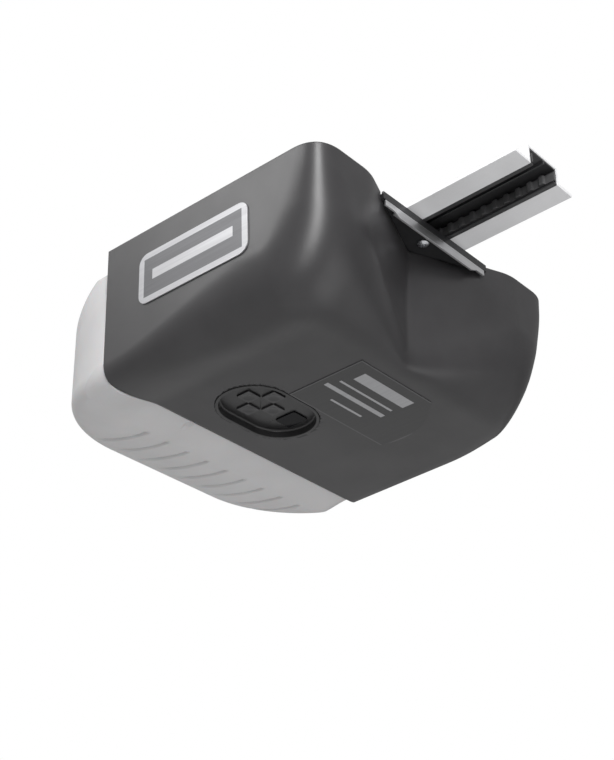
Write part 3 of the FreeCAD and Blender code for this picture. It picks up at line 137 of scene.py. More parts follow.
def dress(node, material, edge):
    """Gives a CAD node its material and breaks its sharp edges, as a real part's are."""
    part = nodes[node]
    part.data.materials.clear()
    part.data.materials.append(material)
    weld = part.modifiers.new("weld", "WELD")
    weld.merge_threshold = WELD_GAP * MM
    if edge:
        soft = part.modifiers.new("edges", "BEVEL")
        soft.width = edge * MM
        soft.segments = 2
        soft.limit_method = "ANGLE"
        soft.angle_limit = SHARP_ANGLE
        soft.use_clamp_overlap = True
    even = part.modifiers.new("normals", "WEIGHTED_NORMAL")
    even.weight = 60
    even.keep_sharp = False


zinc = surface_material("zinc_sheet", zinc_group(), {}, (0.5, 0.5, 0.5), metallic=1.0, bump=0.01)
dress("chassis_plate", zinc, edge=0.25)


# ------------------------------------------------------------ screws
# Pan-head and hexagon fasteners, all zinc plated: bright, a little blue, with
# fine scratches from the driver.
def streak_group():
    """Fine lines along one direction, for brushed, drawn or turned metal."""
    sockets = [("Along", "Vector", (4.0, 900.0, 900.0)), ("Dark", "Color", (0.4, 0.4, 0.4, 1)),
               ("Light", "Color", (0.6, 0.6, 0.6, 1)), ("Dull", "Float", 0.42), ("Bright", "Float", 0.26)]
    group, given, wanted = shader_group("metal_streaks", sockets,
                                        [("Color", "Color"), ("Roughness", "Float"), ("Height", "Float")])
    place = add_node(group, "TexCoord").outputs["Object"]
    drawn = add_node(group, "VectorMath", {0: place, 1: given["Along"]}, operation="MULTIPLY").outputs[0]
    lines = add_node(group, "TexNoise", {"Vector": drawn, "Scale": 1.0, "Detail": 5.0}).outputs[0]
    clouds = add_node(group, "TexNoise", {"Vector": place, "Scale": 35.0, "Detail": 3.0}).outputs[0]
    blend = add_node(group, "Mix", {0: 0.35, 2: lines, 3: clouds}).outputs[0]
    sharp = add_node(group, "MapRange", {0: blend, 1: 0.32, 2: 0.68, 3: 0.0, 4: 1.0}).outputs[0]
    group.links.new(mix_colours(group, sharp, given["Dark"], given["Light"]), wanted["Color"])
    gloss = add_node(group, "Mix", {0: sharp, 2: given["Dull"], 3: given["Bright"]}).outputs[0]
    group.links.new(gloss, wanted["Roughness"])
    group.links.new(lines, wanted["Height"])
    return group


streaks = streak_group()
plated = surface_material("plated_steel", streaks,
                          {"Along": (700.0, 700.0, 60.0), "Dark": (0.42, 0.43, 0.45, 1),
                           "Light": (0.68, 0.69, 0.71, 1), "Dull": 0.34, "Bright": 0.2},
                          (0.55, 0.56, 0.58), metallic=1.0, bump=0.008)
for name in ("cover_screws", "clamp_bolts", "clamp_nuts", "bracket_screw", "gearbox_screws", "board_screws"):
    dress(name, plated, edge=0.15)


# ------------------------------------------------------------ rail and belt
# The rail is a roll-formed steel channel with two flat wings, painted pale grey.
# A black liner is pushed into its slot, and the toothed belt runs inside it.
def moulded_group():
    """Moulded or painted surface: two close tones, a fine spark grain and soft gloss changes."""
    sockets = [("Low", "Color", (0.05, 0.05, 0.05, 1)), ("High", "Color", (0.07, 0.07, 0.07, 1)),
               ("Grain", "Float", 2600.0), ("Dull", "Float", 0.5), ("Bright", "Float", 0.4)]
    group, given, wanted = shader_group("moulded_surface", sockets,
                                        [("Color", "Color"), ("Roughness", "Float"), ("Height", "Float")])
    place = add_node(group, "TexCoord").outputs["Object"]
    clouds = add_node(group, "TexNoise", {"Vector": place, "Scale": 28.0, "Detail": 4.0}).outputs[0]
    grain = add_node(group, "TexNoise", {"Vector": place, "Scale": given["Grain"], "Detail": 2.0}).outputs[0]
    pits = add_node(group, "TexVoronoi", {"Vector": place, "Scale": given["Grain"]}).outputs["Distance"]
    rough = add_node(group, "Math", {0: grain, 1: pits}, operation="ADD").outputs[0]
    both = add_node(group, "Mix", {0: 0.3, 2: clouds, 3: grain}).outputs[0]
    even = add_node(group, "MapRange", {0: both, 1: 0.35, 2: 0.65, 3: 0.0, 4: 1.0}).outputs[0]
    group.links.new(mix_colours(group, even, given["Low"], given["High"]), wanted["Color"])
    gloss = add_node(group, "Mix", {0: clouds, 2: given["Dull"], 3: given["Bright"]}).outputs[0]
    group.links.new(gloss, wanted["Roughness"])
    group.links.new(rough, wanted["Height"])
    return group


moulded = moulded_group()


def plastic(name, low, high, grain=2600.0, dull=0.5, bright=0.4, bump=0.02, **finish):
    """A moulded or painted material from its two tones."""
    values = {"Low": (*low, 1), "High": (*high, 1), "Grain": grain, "Dull": dull, "Bright": bright}
    return surface_material(name, moulded, values, high, bump=bump, **finish)


rail_paint = plastic("rail_paint", (0.60, 0.60, 0.61), (0.66, 0.66, 0.67), grain=900.0,
                     dull=0.42, bright=0.3, bump=0.01)
liner = plastic("liner_plastic", (0.016, 0.016, 0.017), (0.028, 0.028, 0.029), grain=1500.0,
                dull=0.38, bright=0.24, bump=0.04)
rubber = plastic("belt_rubber", (0.045, 0.045, 0.046), (0.075, 0.075, 0.077), grain=1200.0,
                 dull=0.42, bright=0.28, bump=0.04)
sintered = surface_material("sintered_steel", streaks,
                            {"Along": (900.0, 900.0, 900.0), "Dark": (0.2, 0.2, 0.21, 1),
                             "Light": (0.36, 0.36, 0.37, 1), "Dull": 0.5, "Bright": 0.34},
                            (0.3, 0.3, 0.3), metallic=1.0, bump=0.02)
dress("rail_section", rail_paint, edge=0.3)
dress("belt_guide", liner, edge=0.2)
dress("drive_belt", rubber, edge=0.2)
dress("drive_pulley", sintered, edge=0.2)


# ------------------------------------------------------------ rail clamp and bracket
# A pressed strap bolts the rail to the plate. In front of it a black steel tray
# closes the cover's recess, and a bright strip below its edge carries the screw.
black_steel = plastic("black_powder_coat", (0.010, 0.010, 0.011), (0.020, 0.020, 0.021), grain=1700.0,
                      dull=0.42, bright=0.28, bump=0.03)
bright_strip = surface_material("bright_strip", streaks,
                                {"Along": (500.0, 12.0, 500.0), "Dark": (0.62, 0.62, 0.63, 1),
                                 "Light": (0.74, 0.74, 0.75, 1), "Dull": 0.44, "Bright": 0.34},
                                (0.7, 0.7, 0.7), metallic=1.0, bump=0.006)
dress("rail_clamp", zinc, edge=0.4)
dress("rail_bracket", black_steel, edge=0.4)
dress("bracket_strip", bright_strip, edge=0.2)


# ------------------------------------------------------------ gearbox
# A die-cast box under the plate with a lid, a moulded output gear on the belt's
# shaft, a two-step gear on a fixed pin and the motor's turned steel pinion.
cast = plastic("cast_aluminium", (0.30, 0.30, 0.31), (0.42, 0.42, 0.43), grain=1100.0,
               dull=0.55, bright=0.4, bump=0.05, Metallic=0.85)
bronze = surface_material("bearing_bronze", streaks,
                          {"Along": (800.0, 800.0, 120.0), "Dark": (0.40, 0.24, 0.10, 1),
                           "Light": (0.62, 0.40, 0.20, 1), "Dull": 0.42, "Bright": 0.28},
                          (0.55, 0.35, 0.17), metallic=1.0, bump=0.01)
turned = surface_material("turned_steel", streaks,
                          {"Along": (40.0, 40.0, 1500.0), "Dark": (0.40, 0.40, 0.41, 1),
                           "Light": (0.62, 0.62, 0.63, 1), "Dull": 0.32, "Bright": 0.2},
                          (0.55, 0.55, 0.56), metallic=1.0, bump=0.006)
gear_nylon = plastic("gear_nylon", (0.55, 0.53, 0.47), (0.66, 0.64, 0.58), grain=1500.0,
                     dull=0.45, bright=0.32, bump=0.02)
dress("gearbox_housing", cast, edge=0.5)
dress("gearbox_lid", cast, edge=0.5)
dress("bronze_bushes", bronze, edge=0.15)
for name in ("output_shaft", "step_pin", "motor_shaft", "hinge_rod"):
    dress(name, turned, edge=0.2)
dress("motor_pinion", turned, edge=0.1)
dress("output_gear", gear_nylon, edge=0.15)
dress("step_gear", gear_nylon, edge=0.12)


# ------------------------------------------------------------ motor
# A direct-current motor in a drawn steel can: arc magnets, a wound armature,
# a commutator with carbon brushes, and a slotted disc that counts turns.
can_steel = surface_material("drawn_can", streaks,
                             {"Along": (300.0, 300.0, 20.0), "Dark": (0.34, 0.35, 0.37, 1),
                              "Light": (0.5, 0.51, 0.53, 1), "Dull": 0.4, "Bright": 0.28},
                             (0.45, 0.46, 0.48), metallic=1.0, bump=0.008)
ferrite = plastic("magnet_ferrite", (0.035, 0.035, 0.037), (0.07, 0.07, 0.072), grain=1300.0,
                  dull=0.75, bright=0.6, bump=0.04)
laminated = surface_material("laminated_steel", streaks,
                             {"Along": (12.0, 12.0, 2000.0), "Dark": (0.16, 0.16, 0.17, 1),
                              "Light": (0.40, 0.40, 0.42, 1), "Dull": 0.5, "Bright": 0.34},
                             (0.3, 0.3, 0.3), metallic=0.9, bump=0.03)
copper = surface_material("segment_copper", streaks,
                          {"Along": (60.0, 60.0, 1200.0), "Dark": (0.52, 0.24, 0.13, 1),
                           "Light": (0.80, 0.42, 0.26, 1), "Dull": 0.36, "Bright": 0.22},
                          (0.7, 0.35, 0.2), metallic=1.0, bump=0.01)
carbon = plastic("brush_carbon", (0.015, 0.015, 0.016), (0.035, 0.035, 0.036), grain=2600.0,
                 dull=0.7, bright=0.5, bump=0.03)
white_moulding = plastic("white_moulding", (0.70, 0.70, 0.69), (0.78, 0.78, 0.77), grain=1800.0,
                         dull=0.45, bright=0.34, bump=0.015)
black_moulding = plastic("black_moulding", (0.012, 0.012, 0.013), (0.022, 0.022, 0.023), grain=2200.0,
                         dull=0.5, bright=0.36, bump=0.02)
dress("motor_can", can_steel, edge=0.5)
dress("motor_front_plate", can_steel, edge=0.3)
dress("motor_magnets", ferrite, edge=0.4)
dress("motor_armature", laminated, edge=0.15)
dress("motor_commutator", copper, edge=0.1)
dress("motor_brushes", carbon, edge=0.2)
dress("encoder_disc", black_moulding, edge=0.0)
dress("encoder_sensor", black_moulding, edge=0.2)


# ------------------------------------------------------------ power parts
# The mains lead enters through a bushed gland. The transformer hangs under the
# plate, and a push-in block takes the wall control's and the sensors' wires.
terminal_plastic = plastic("terminal_plastic", (0.36, 0.37, 0.38), (0.44, 0.45, 0.46), grain=2000.0,
                           dull=0.45, bright=0.34, bump=0.02)
coil_tape = plastic("coil_tape", (0.50, 0.40, 0.06), (0.62, 0.51, 0.10), grain=300.0,
                    dull=0.34, bright=0.2, bump=0.03)
dress("power_gland", black_moulding, edge=0.4)
dress("wall_control_terminals", terminal_plastic, edge=0.25)
dress("transformer_core", laminated, edge=0.3)
dress("transformer_coil", coil_tape, edge=0.8)


# ------------------------------------------------------------ logic board
# The board sits in the bottom of the cover: fibre-glass laminate with its
# capacitors, relays, heat sink, key switches and the two-digit display.
laminate = plastic("board_laminate", (0.012, 0.085, 0.035), (0.022, 0.13, 0.055), grain=700.0,
                   dull=0.4, bright=0.26, bump=0.01)
sleeve = plastic("capacitor_sleeve", (0.012, 0.014, 0.03), (0.022, 0.026, 0.05), grain=600.0,
                 dull=0.32, bright=0.2, bump=0.01)
relay_plastic = plastic("relay_plastic", (0.020, 0.055, 0.16), (0.03, 0.08, 0.21), grain=2000.0,
                        dull=0.42, bright=0.3, bump=0.015)
extruded = surface_material("extruded_aluminium", streaks,
                            {"Along": (500.0, 500.0, 10.0), "Dark": (0.55, 0.55, 0.57, 1),
                             "Light": (0.72, 0.72, 0.74, 1), "Dull": 0.42, "Bright": 0.3},
                            (0.65, 0.65, 0.66), metallic=1.0, bump=0.01)
dress("logic_board", laminate, edge=0.0)
dress("board_capacitors", sleeve, edge=0.8)
dress("board_relays", relay_plastic, edge=0.3)
dress("board_heatsink", extruded, edge=0.2)
dress("key_switches", black_moulding, edge=0.15)
dress("display_module", black_moulding, edge=0.2)


# ------------------------------------------------------------ cover
# One deep moulding in charcoal plastic: leaning sides, a big bend from the
# front wall to the bottom, a flat underside with a soft ridge along its left side,
# and a wedge-shaped recess where the rail leaves. Open at the rear.
cover_low, cover_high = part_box("housing_cover")
REAR = cover_low.x / MM
FRONT = cover_high.x / MM
HALF = cover_high.y / MM
LOW_MARGIN = 0.35
COVER_LOW = cover_low.z / MM + LOW_MARGIN
COVER_WALL = 2.5
COVER_MIDDLE = (5.0, 0.0, 0.0)
SIDE_DRAFT = 0.045
SIDE_TAPER = 0.03
FRONT_LEAN = 0.03
BEND_TOP = -40.0
BEND_END = 48.0
BEND_BULGE = 0.6
BEND_DROP = 32.0
BEND_REACH = 22.0
UNDERSIDE = -101.5
RIDGE_START = 78.0
RIDGE_TOP = 113.0
RIDGE_SHORT = 0.6
UNDERSIDE_EDGE = 4.0


def step(value, start, end):
    """A smooth 0 to 1 rise between two values."""
    share = np.clip((value - start) / (end - start), 0.0, 1.0)
    return share * share * (3.0 - 2.0 * share)


def soft_max(first, second, width):
    """The larger of two distances, with the edge between them rounded over a width."""
    near = np.maximum(width - np.abs(first - second), 0.0) / width
    return np.maximum(first, second) + near * near * width / 4.0


def bend_radius():
    """The big bend seen from the side, as a radius for each angle about its middle."""
    share = np.linspace(0.0, 1.0, 2000)
    poles = ((FRONT, BEND_TOP), (FRONT - BEND_BULGE, BEND_TOP - BEND_DROP),
             (BEND_END + BEND_REACH, COVER_LOW), (BEND_END, COVER_LOW))
    weights = ((1 - share) ** 3, 3 * share * (1 - share) ** 2, 3 * share ** 2 * (1 - share), share ** 3)
    x = sum(w * p[0] for w, p in zip(weights, poles)) - BEND_END
    z = sum(w * p[1] for w, p in zip(weights, poles)) - BEND_TOP
    angle = np.arctan2(-z, x)
    return angle, np.hypot(x, z)


BEND_ANGLES, BEND_RADII = bend_radius()


def front_and_bottom(x, z):
    """Distance outside the side view's outline: front wall, big bend, bottom."""
    lean_x = x + FRONT_LEAN * np.clip(-z, 0.0, -BEND_TOP)
    around = np.arctan2(BEND_TOP - z, lean_x - BEND_END)
    turn = np.hypot(lean_x - BEND_END, z - BEND_TOP) - np.interp(around, BEND_ANGLES, BEND_RADII)
    flat = np.where(z > BEND_TOP, lean_x - FRONT, COVER_LOW - z)
    bent = (lean_x > BEND_END) & (z < BEND_TOP)
    return np.where(bent, turn, np.where(lean_x > BEND_END, flat, COVER_LOW - z))


def underside(y):
    """Height of the flat underside and of the ridge along its left side."""
    return UNDERSIDE + (COVER_LOW - RIDGE_SHORT - UNDERSIDE) * step(-y, RIDGE_START, RIDGE_TOP)


RECESS_APEX = 66.0
RECESS_HALF = 81.0
RECESS_DEPTH = 55.0
VALLEY_BOW = 1.6
VALLEY_ROUND = 1.4
VALLEY_SINK = 1.18


def recess(x, y, z):
    """Distance into the wedge cut from the front wall; its valley bows a little."""
    slope = (FRONT - RECESS_APEX) / RECESS_HALF
    bow = VALLEY_BOW * np.cos(np.pi * np.clip(-z / RECESS_DEPTH, 0.0, 1.0))
    rise = slope * (np.sqrt(y * y + VALLEY_ROUND) - VALLEY_SINK)
    return (x - RECESS_APEX - bow - rise) / math.hypot(1.0, slope)


def grow(value, start, end, least, more):
    """An edge's rounding, which grows from its least along the cover."""
    return least + more * step(value, start, end)


def cover_shape(point):
    """How far a point lies outside the cover's outer skin."""
    x, y, z = point[..., 0], point[..., 1], point[..., 2]
    shell = front_and_bottom(x, z)
    shell = soft_max(shell, recess(x, y, z), grow(-z, 38.0, 80.0, least=3.0, more=9.0))
    side = np.abs(y) - HALF + SIDE_TAPER * (x - REAR) - SIDE_DRAFT * z
    left_down = grow(-z, 0.0, 80.0, least=22.0, more=24.0)
    left_back = grow(x, REAR, BEND_END, least=15.0, more=31.0)
    right_low = grow(x, 0.0, 75.0, least=10.0, more=26.0)
    right_high = 24.0
    lower = step(-z, 10.0, 60.0)
    right = right_high * (1.0 - lower) + lower * right_low
    shell = soft_max(shell, side, np.where(y < 0.0, np.minimum(left_down, left_back), right))
    return soft_max(shell, underside(y) - z, UNDERSIDE_EDGE)


LONGEST_RAY = 3.0
HALVINGS = 42


def cast_rays(shape, centre, targets):
    """Where rays from a centre towards the targets leave a shape, found by halving."""
    near = np.zeros(targets.shape[:-1])
    far = np.full(targets.shape[:-1], LONGEST_RAY)
    for _ in range(HALVINGS):
        middle = (near + far) / 2.0
        inside = shape(centre + (targets - centre) * middle[..., None]) < 0.0
        near = np.where(inside, middle, near)
        far = np.where(inside, far, middle)
    return centre + (targets - centre) * near[..., None]


BEND_WEIGHT = 6.0


def spread_evenly(points, count):
    """Shares along a line of points, closer together where the line bends."""
    steps = np.diff(points, axis=0)
    length = np.linalg.norm(steps, axis=1)
    heading = steps / np.maximum(length, 1e-9)[:, None]
    turn = np.zeros(len(length))
    turn[1:] = np.arccos(np.clip((heading[1:] * heading[:-1]).sum(1), -1.0, 1.0))
    total = np.concatenate([[0.0], np.cumsum(length + BEND_WEIGHT * turn)])
    return np.interp(np.linspace(0.0, total[-1], count), total, np.linspace(0.0, 1.0, len(points)))


def points_at(points, shares):
    """Points at shares of the way along a line of points."""
    even = np.linspace(0.0, 1.0, len(points))
    return np.stack([np.interp(shares, even, points[:, axis]) for axis in range(3)], axis=1)


JOINED_GAP = 0.002
LEAST_EDGE = 0.001


def grid_mesh(name, grid, middle):
    """A quad mesh from a rows by columns by 3 array in millimetres, facing away from a middle."""
    rows, columns = grid.shape[:2]
    index = np.arange(rows * columns).reshape(rows, columns)
    corners = (index[:-1, :-1], index[1:, :-1], index[1:, 1:], index[:-1, 1:])
    faces = np.stack([c.ravel() for c in corners], axis=1)
    mesh = bpy.data.meshes.new(name)
    mesh.from_pydata((grid.reshape(-1, 3) * MM).tolist(), [], faces.tolist())
    work = bmesh.new()
    work.from_mesh(mesh)
    bmesh.ops.remove_doubles(work, verts=work.verts, dist=JOINED_GAP * MM)
    bmesh.ops.dissolve_degenerate(work, edges=work.edges, dist=LEAST_EDGE * MM)
    work.normal_update()
    centre = Vector(middle) * MM
    away = sum(f.normal.dot(f.calc_center_median() - centre) * f.calc_area() for f in work.faces)
    if away < 0:
        bmesh.ops.reverse_faces(work, faces=work.faces)
    work.to_mesh(mesh)
    work.free()
    return mesh


def new_piece(name, mesh, material, body, slot, *stood_for):
    """Links a piece, gives it its material and body, and lets it stand for CAD nodes."""
    piece = bpy.data.objects.new(name, mesh)
    bpy.context.scene.collection.objects.link(piece)
    mesh.materials.append(material)
    for face in mesh.polygons:
        face.use_smooth = True
    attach(piece, body)
    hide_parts(*stood_for)
    return piece


def settle(piece):
    """Applies a piece's modifiers."""
    graph = bpy.context.evaluated_depsgraph_get()
    made = bpy.data.meshes.new_from_object(piece.evaluated_get(graph))
    piece.modifiers.clear()
    piece.data = made


def thicken(piece, wall, even):
    """Gives a skin its wall, inwards from its outer surface."""
    thick = piece.modifiers.new("wall", "SOLIDIFY")
    thick.thickness = wall * MM
    thick.offset = -1.0
    thick.use_even_offset = even


CORNER_SEGMENTS = 24


def cutting_block(low, high, corner=0.0):
    """A closed block, in millimetres, that a boolean takes away."""
    mesh = bpy.data.meshes.new("cutter")
    work = bmesh.new()
    bmesh.ops.create_cube(work, size=1.0)
    middle = (Vector(low) + Vector(high)) / 2.0
    size = Vector(high) - Vector(low)
    for vert in work.verts:
        vert.co = Vector(vert.co[i] * size[i] + middle[i] for i in range(3))
    if corner:
        upright = [e for e in work.edges if abs(e.verts[0].co.z - e.verts[1].co.z) > size.z / 2]
        bmesh.ops.bevel(work, geom=upright, offset=corner, segments=CORNER_SEGMENTS,
                         profile=0.5, affect="EDGES")
    for vert in work.verts:
        vert.co *= MM
    work.to_mesh(mesh)
    work.free()
    block = bpy.data.objects.new("cutter", mesh)
    bpy.context.scene.collection.objects.link(block)
    return block


def cut_away(piece, blocks):
    """Takes blocks out of a piece and removes them."""
    for block in blocks:
        cut = piece.modifiers.new("cut", "BOOLEAN")
        cut.object = block
        cut.solver = "EXACT"
    settle(piece)
    for block in blocks:
        bpy.data.objects.remove(block)


COVER_LINES = 281
COVER_COLUMNS = 171
RIM_RAYS = 4001
LINE_RAYS = 500
AIM_REACH = 60.0
AIM_SHARE = 0.6


def cover_grid():
    """Lines from the cover's top rim, down and under, to its open rear rim."""
    centre = np.array(COVER_MIDDLE)
    corner = math.atan2(HALF, REAR - centre[0])
    turn = np.linspace(-corner, corner, RIM_RAYS)
    aim = centre + AIM_REACH * np.stack([np.cos(turn), np.sin(turn), 0 * turn], axis=1)
    top = cast_rays(cover_shape, centre, aim)
    drop = np.linspace(-math.pi, 0.0, RIM_RAYS)
    rear_centre = np.array([REAR, 0.0, 0.0])
    aim = rear_centre + AIM_REACH * np.stack([0 * drop, np.cos(drop), np.sin(drop)], axis=1)
    rear = cast_rays(cover_shape, rear_centre, aim)
    top = points_at(top, spread_evenly(top, COVER_LINES))
    rear = points_at(rear, spread_evenly(rear, COVER_LINES))
    share = np.linspace(0.0, 1.0, LINE_RAYS)[None, :, None]
    aims = top[:, None, :] * (1.0 - share) + rear[:, None, :] * share
    dense = cast_rays(cover_shape, centre, aims)
    grid = np.empty((COVER_LINES, COVER_COLUMNS, 3))
    grid[0], grid[-1] = dense[0, 0], dense[-1, 0]
    for i in range(1, COVER_LINES - 1):
        grid[i] = points_at(dense[i], spread_evenly(dense[i], COVER_COLUMNS))
    fine = cast_rays(cover_shape, centre, centre + (grid - centre) * AIM_SHARE)
    fine[:, 0] = top
    fine[:, -1] = rear
    fine[0], fine[-1] = grid[0], grid[-1]
    fine[..., 0] = np.maximum(fine[..., 0], REAR)
    return fine


charcoal = plastic("charcoal_plastic", (0.020, 0.0192, 0.0205), (0.028, 0.027, 0.0285), grain=2400.0,
                   dull=0.38, bright=0.29, bump=0.01)
cover_mesh = grid_mesh("cover_shell", cover_grid(), COVER_MIDDLE)
cover = new_piece("cover_shell", cover_mesh, charcoal, "housing", "cover_plastic", "housing_cover")
thicken(cover, COVER_WALL, even=True)
PAST = 5.0
TRAY_SIDE_GAP = 0.5
TRAY_TOP_GAP = 0.3
TRAY_REAR_GAP = 2.0
ABOVE_RIM = 3.0
tray_low, tray_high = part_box("rail_bracket")
gate = cutting_block((tray_low.x / MM - TRAY_REAR_GAP, tray_low.y / MM - TRAY_SIDE_GAP,
                      tray_low.z / MM - TRAY_TOP_GAP),
                     (FRONT + PAST, tray_high.y / MM + TRAY_SIDE_GAP, ABOVE_RIM))
PAD_LAP = 2.3
PAD_CUT_TOP = -90.0
CORNER_MARGIN = 0.01
pad_low, pad_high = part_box("control_pad")
opening = cutting_block((pad_low.x / MM + PAD_LAP, pad_low.y / MM + PAD_LAP, COVER_LOW - PAST),
                        (pad_high.x / MM - PAD_LAP, pad_high.y / MM - PAD_LAP, PAD_CUT_TOP),
                        corner=(pad_high.x - pad_low.x) / MM / 2.0 - PAD_LAP - CORNER_MARGIN)
cut_away(cover, [gate, opening])


# ------------------------------------------------------------ lamp parts
# Behind the cover's open rear a white bulkhead carries two screw sockets with
# LED bulbs. Each bulb has a rolled nickel-plated cap and a frosted dome.
cap_metal = surface_material("bulb_cap_metal", streaks,
                             {"Along": (900.0, 90.0, 90.0), "Dark": (0.50, 0.50, 0.51, 1),
                              "Light": (0.70, 0.70, 0.71, 1), "Dull": 0.34, "Bright": 0.2},
                             (0.6, 0.6, 0.6), metallic=1.0, bump=0.01)
frosted = plastic("bulb_diffuser", (0.80, 0.80, 0.78), (0.86, 0.86, 0.84), grain=1800.0,
                  dull=0.5, bright=0.42, bump=0.01)
dress("rear_bulkhead", white_moulding, edge=0.3)
dress("hinge_rail", black_moulding, edge=0.3)
dress("lamp_socket_left", white_moulding, edge=0.5)
dress("lamp_socket_right", white_moulding, edge=0.5)
for side in ("left", "right"):
    dress("bulb_base_" + side, cap_metal, edge=0.0)
    dress("bulb_globe_" + side, frosted, edge=0.0)


# ------------------------------------------------------------ lens
# A deep bowl in pale translucent plastic that closes the rear and lights the
# garage, hinged at its top edge. Nine shallow flutes run back along its
# underside and die out before the rear.
LENS_FRONT = REAR - 0.5
LENS_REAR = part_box("light_lens")[0].x / MM
LENS_TOP = -9.0
LENS_CORNER = 78.0
LENS_SWEEP = 50.0
LENS_RISE = 12.0
LENS_TOP_DROP = 28.0
LENS_WALL = 2.2
LENS_MIDDLE = -52.0
LENS_LOW = COVER_LOW + 1.5
LENS_SIDE_GAP = 2.0
LENS_LEAN = 0.03
LENS_SIDE_EDGE = 17.0
LENS_PULL = 5.0
RAMP_START = -97.0
RAMP_END = -126.0
FLUTE_PITCH = 19.9
FLUTE_COUNT = 9
FLUTE_FIRST = -61.8
FLUTE_HALF = 2.1
FLUTE_DEPTH = 2.9
FLUTE_FRONT = -125.5
FLUTE_REAR = -173.0
FLUTE_DRIFT = 14.5
FLUTE_START_RUN = 2.6
FLUTE_END_RUN = 16.0
NOTCH_X = -101.0
NOTCH_Y = -46.0
NOTCH_LENGTH = 5.0
NOTCH_WIDTH = 2.8
NOTCH_DEPTH = 1.5


def lens_half(z):
    """Half the lens's width at a height."""
    return HALF - LENS_SIDE_GAP + LENS_LEAN * z


def lens_shape(point):
    """How far a point lies outside the lens's outer skin, its flutes left out."""
    x, y, z = point[..., 0], point[..., 1], point[..., 2]
    ramp = step(-x, -RAMP_START, -RAMP_END)
    low = (underside(y) + 0.4) * (1.0 - ramp) + LENS_LOW * ramp
    low_turn = np.clip(1.0 - (z - low) / LENS_RISE, 0.0, 1.0)
    low_pull = 1.0 - np.sqrt(np.clip(1.0 - low_turn ** 2, 0.0, 1.0))
    top_turn = np.clip(1.0 - (LENS_TOP - z) / LENS_TOP_DROP, 0.0, 1.0)
    top_pull = 1.0 - np.sqrt(np.clip(1.0 - top_turn ** 2, 0.0, 1.0))
    pull = np.maximum(low_pull, top_pull)
    half = lens_half(z)
    reach_x = LENS_CORNER - LENS_SWEEP * pull
    reach_y = LENS_CORNER - LENS_PULL * pull
    middle_y = half - LENS_CORNER
    across = (np.abs(y) - middle_y) / reach_y
    along = -(x - (LENS_REAR + LENS_CORNER)) / reach_x
    corner = (np.hypot(np.maximum(across, 0.0), np.maximum(along, 0.0)) - 1.0) * reach_x
    outline = np.where((across > 0.0) & (along > 0.0), corner,
                       np.maximum((along - 1.0) * reach_x, (across - 1.0) * reach_y))
    section = soft_max(np.maximum(low - z, z - LENS_TOP), np.abs(y) - half, LENS_SIDE_EDGE)
    return np.maximum(outline, section)


def flute_depth(x, y):
    """How deep the flutes are sunk at a place on the underside."""
    run = np.clip((FLUTE_FRONT - x) / (FLUTE_FRONT - FLUTE_REAR), 0.0, 1.0)
    straight = y + FLUTE_DRIFT * run ** 1.5
    number = np.clip(np.round((straight - FLUTE_FIRST) / FLUTE_PITCH), 0, FLUTE_COUNT - 1)
    offset = (straight - FLUTE_FIRST - number * FLUTE_PITCH) / FLUTE_HALF
    across = np.clip(1.0 - offset ** 2, 0.0, 1.0) ** 1.2
    start = step(x, FLUTE_FRONT, FLUTE_FRONT - FLUTE_START_RUN)
    end = step(x, FLUTE_REAR, FLUTE_REAR + FLUTE_END_RUN)
    oval = ((x - NOTCH_X) / NOTCH_LENGTH) ** 2 + ((y - NOTCH_Y) / NOTCH_WIDTH) ** 2
    notch = NOTCH_DEPTH * np.sqrt(np.clip(1.0 - oval, 0.0, 1.0))
    return FLUTE_DEPTH * across * start * end + notch


LENS_ROWS = 126
LENS_RAYS = 1200
CORNER_COLUMNS = 46
COLUMN_PITCH = 0.8
LEAST_SHARE = 0.0022
LAST_SHARE = 0.9993
EDGE_SHARE = 0.999
FLUTE_MARGIN = 5.0
FLUTES_TOP = -75.0
FLUTES_FULL = -90.0
SIDE_STEPS = (0.35, 0.75, 1.0)


def lens_columns():
    """Shares of the half width: even over the fluted middle, closer at the corners."""
    round_part = 1.0 - LENS_CORNER / (HALF - LENS_SIDE_GAP)
    corner = round_part + (1.0 - round_part) * np.sin(np.linspace(0.0, math.pi / 2, CORNER_COLUMNS))
    first = FLUTE_FIRST - FLUTE_DRIFT - FLUTE_MARGIN
    last = FLUTE_FIRST + FLUTE_PITCH * (FLUTE_COUNT - 1) + FLUTE_MARGIN
    fluted = np.arange(first, last, COLUMN_PITCH) / lens_half(UNDERSIDE)
    every = np.sort(np.concatenate([fluted, corner[1:-1], -corner[1:-1], [LAST_SHARE, -LAST_SHARE]]))
    kept = [every[0]]
    for place in every[1:]:
        if place - kept[-1] > LEAST_SHARE or place > EDGE_SHARE:
            kept.append(place)
    return np.array(kept)


def lens_section(share):
    """The lens's shape along one lengthwise section, at a share of its half width."""
    def shape(point):
        placed = point.copy()
        placed[..., 1] = share * lens_half(point[..., 2])
        return lens_shape(placed)
    return shape


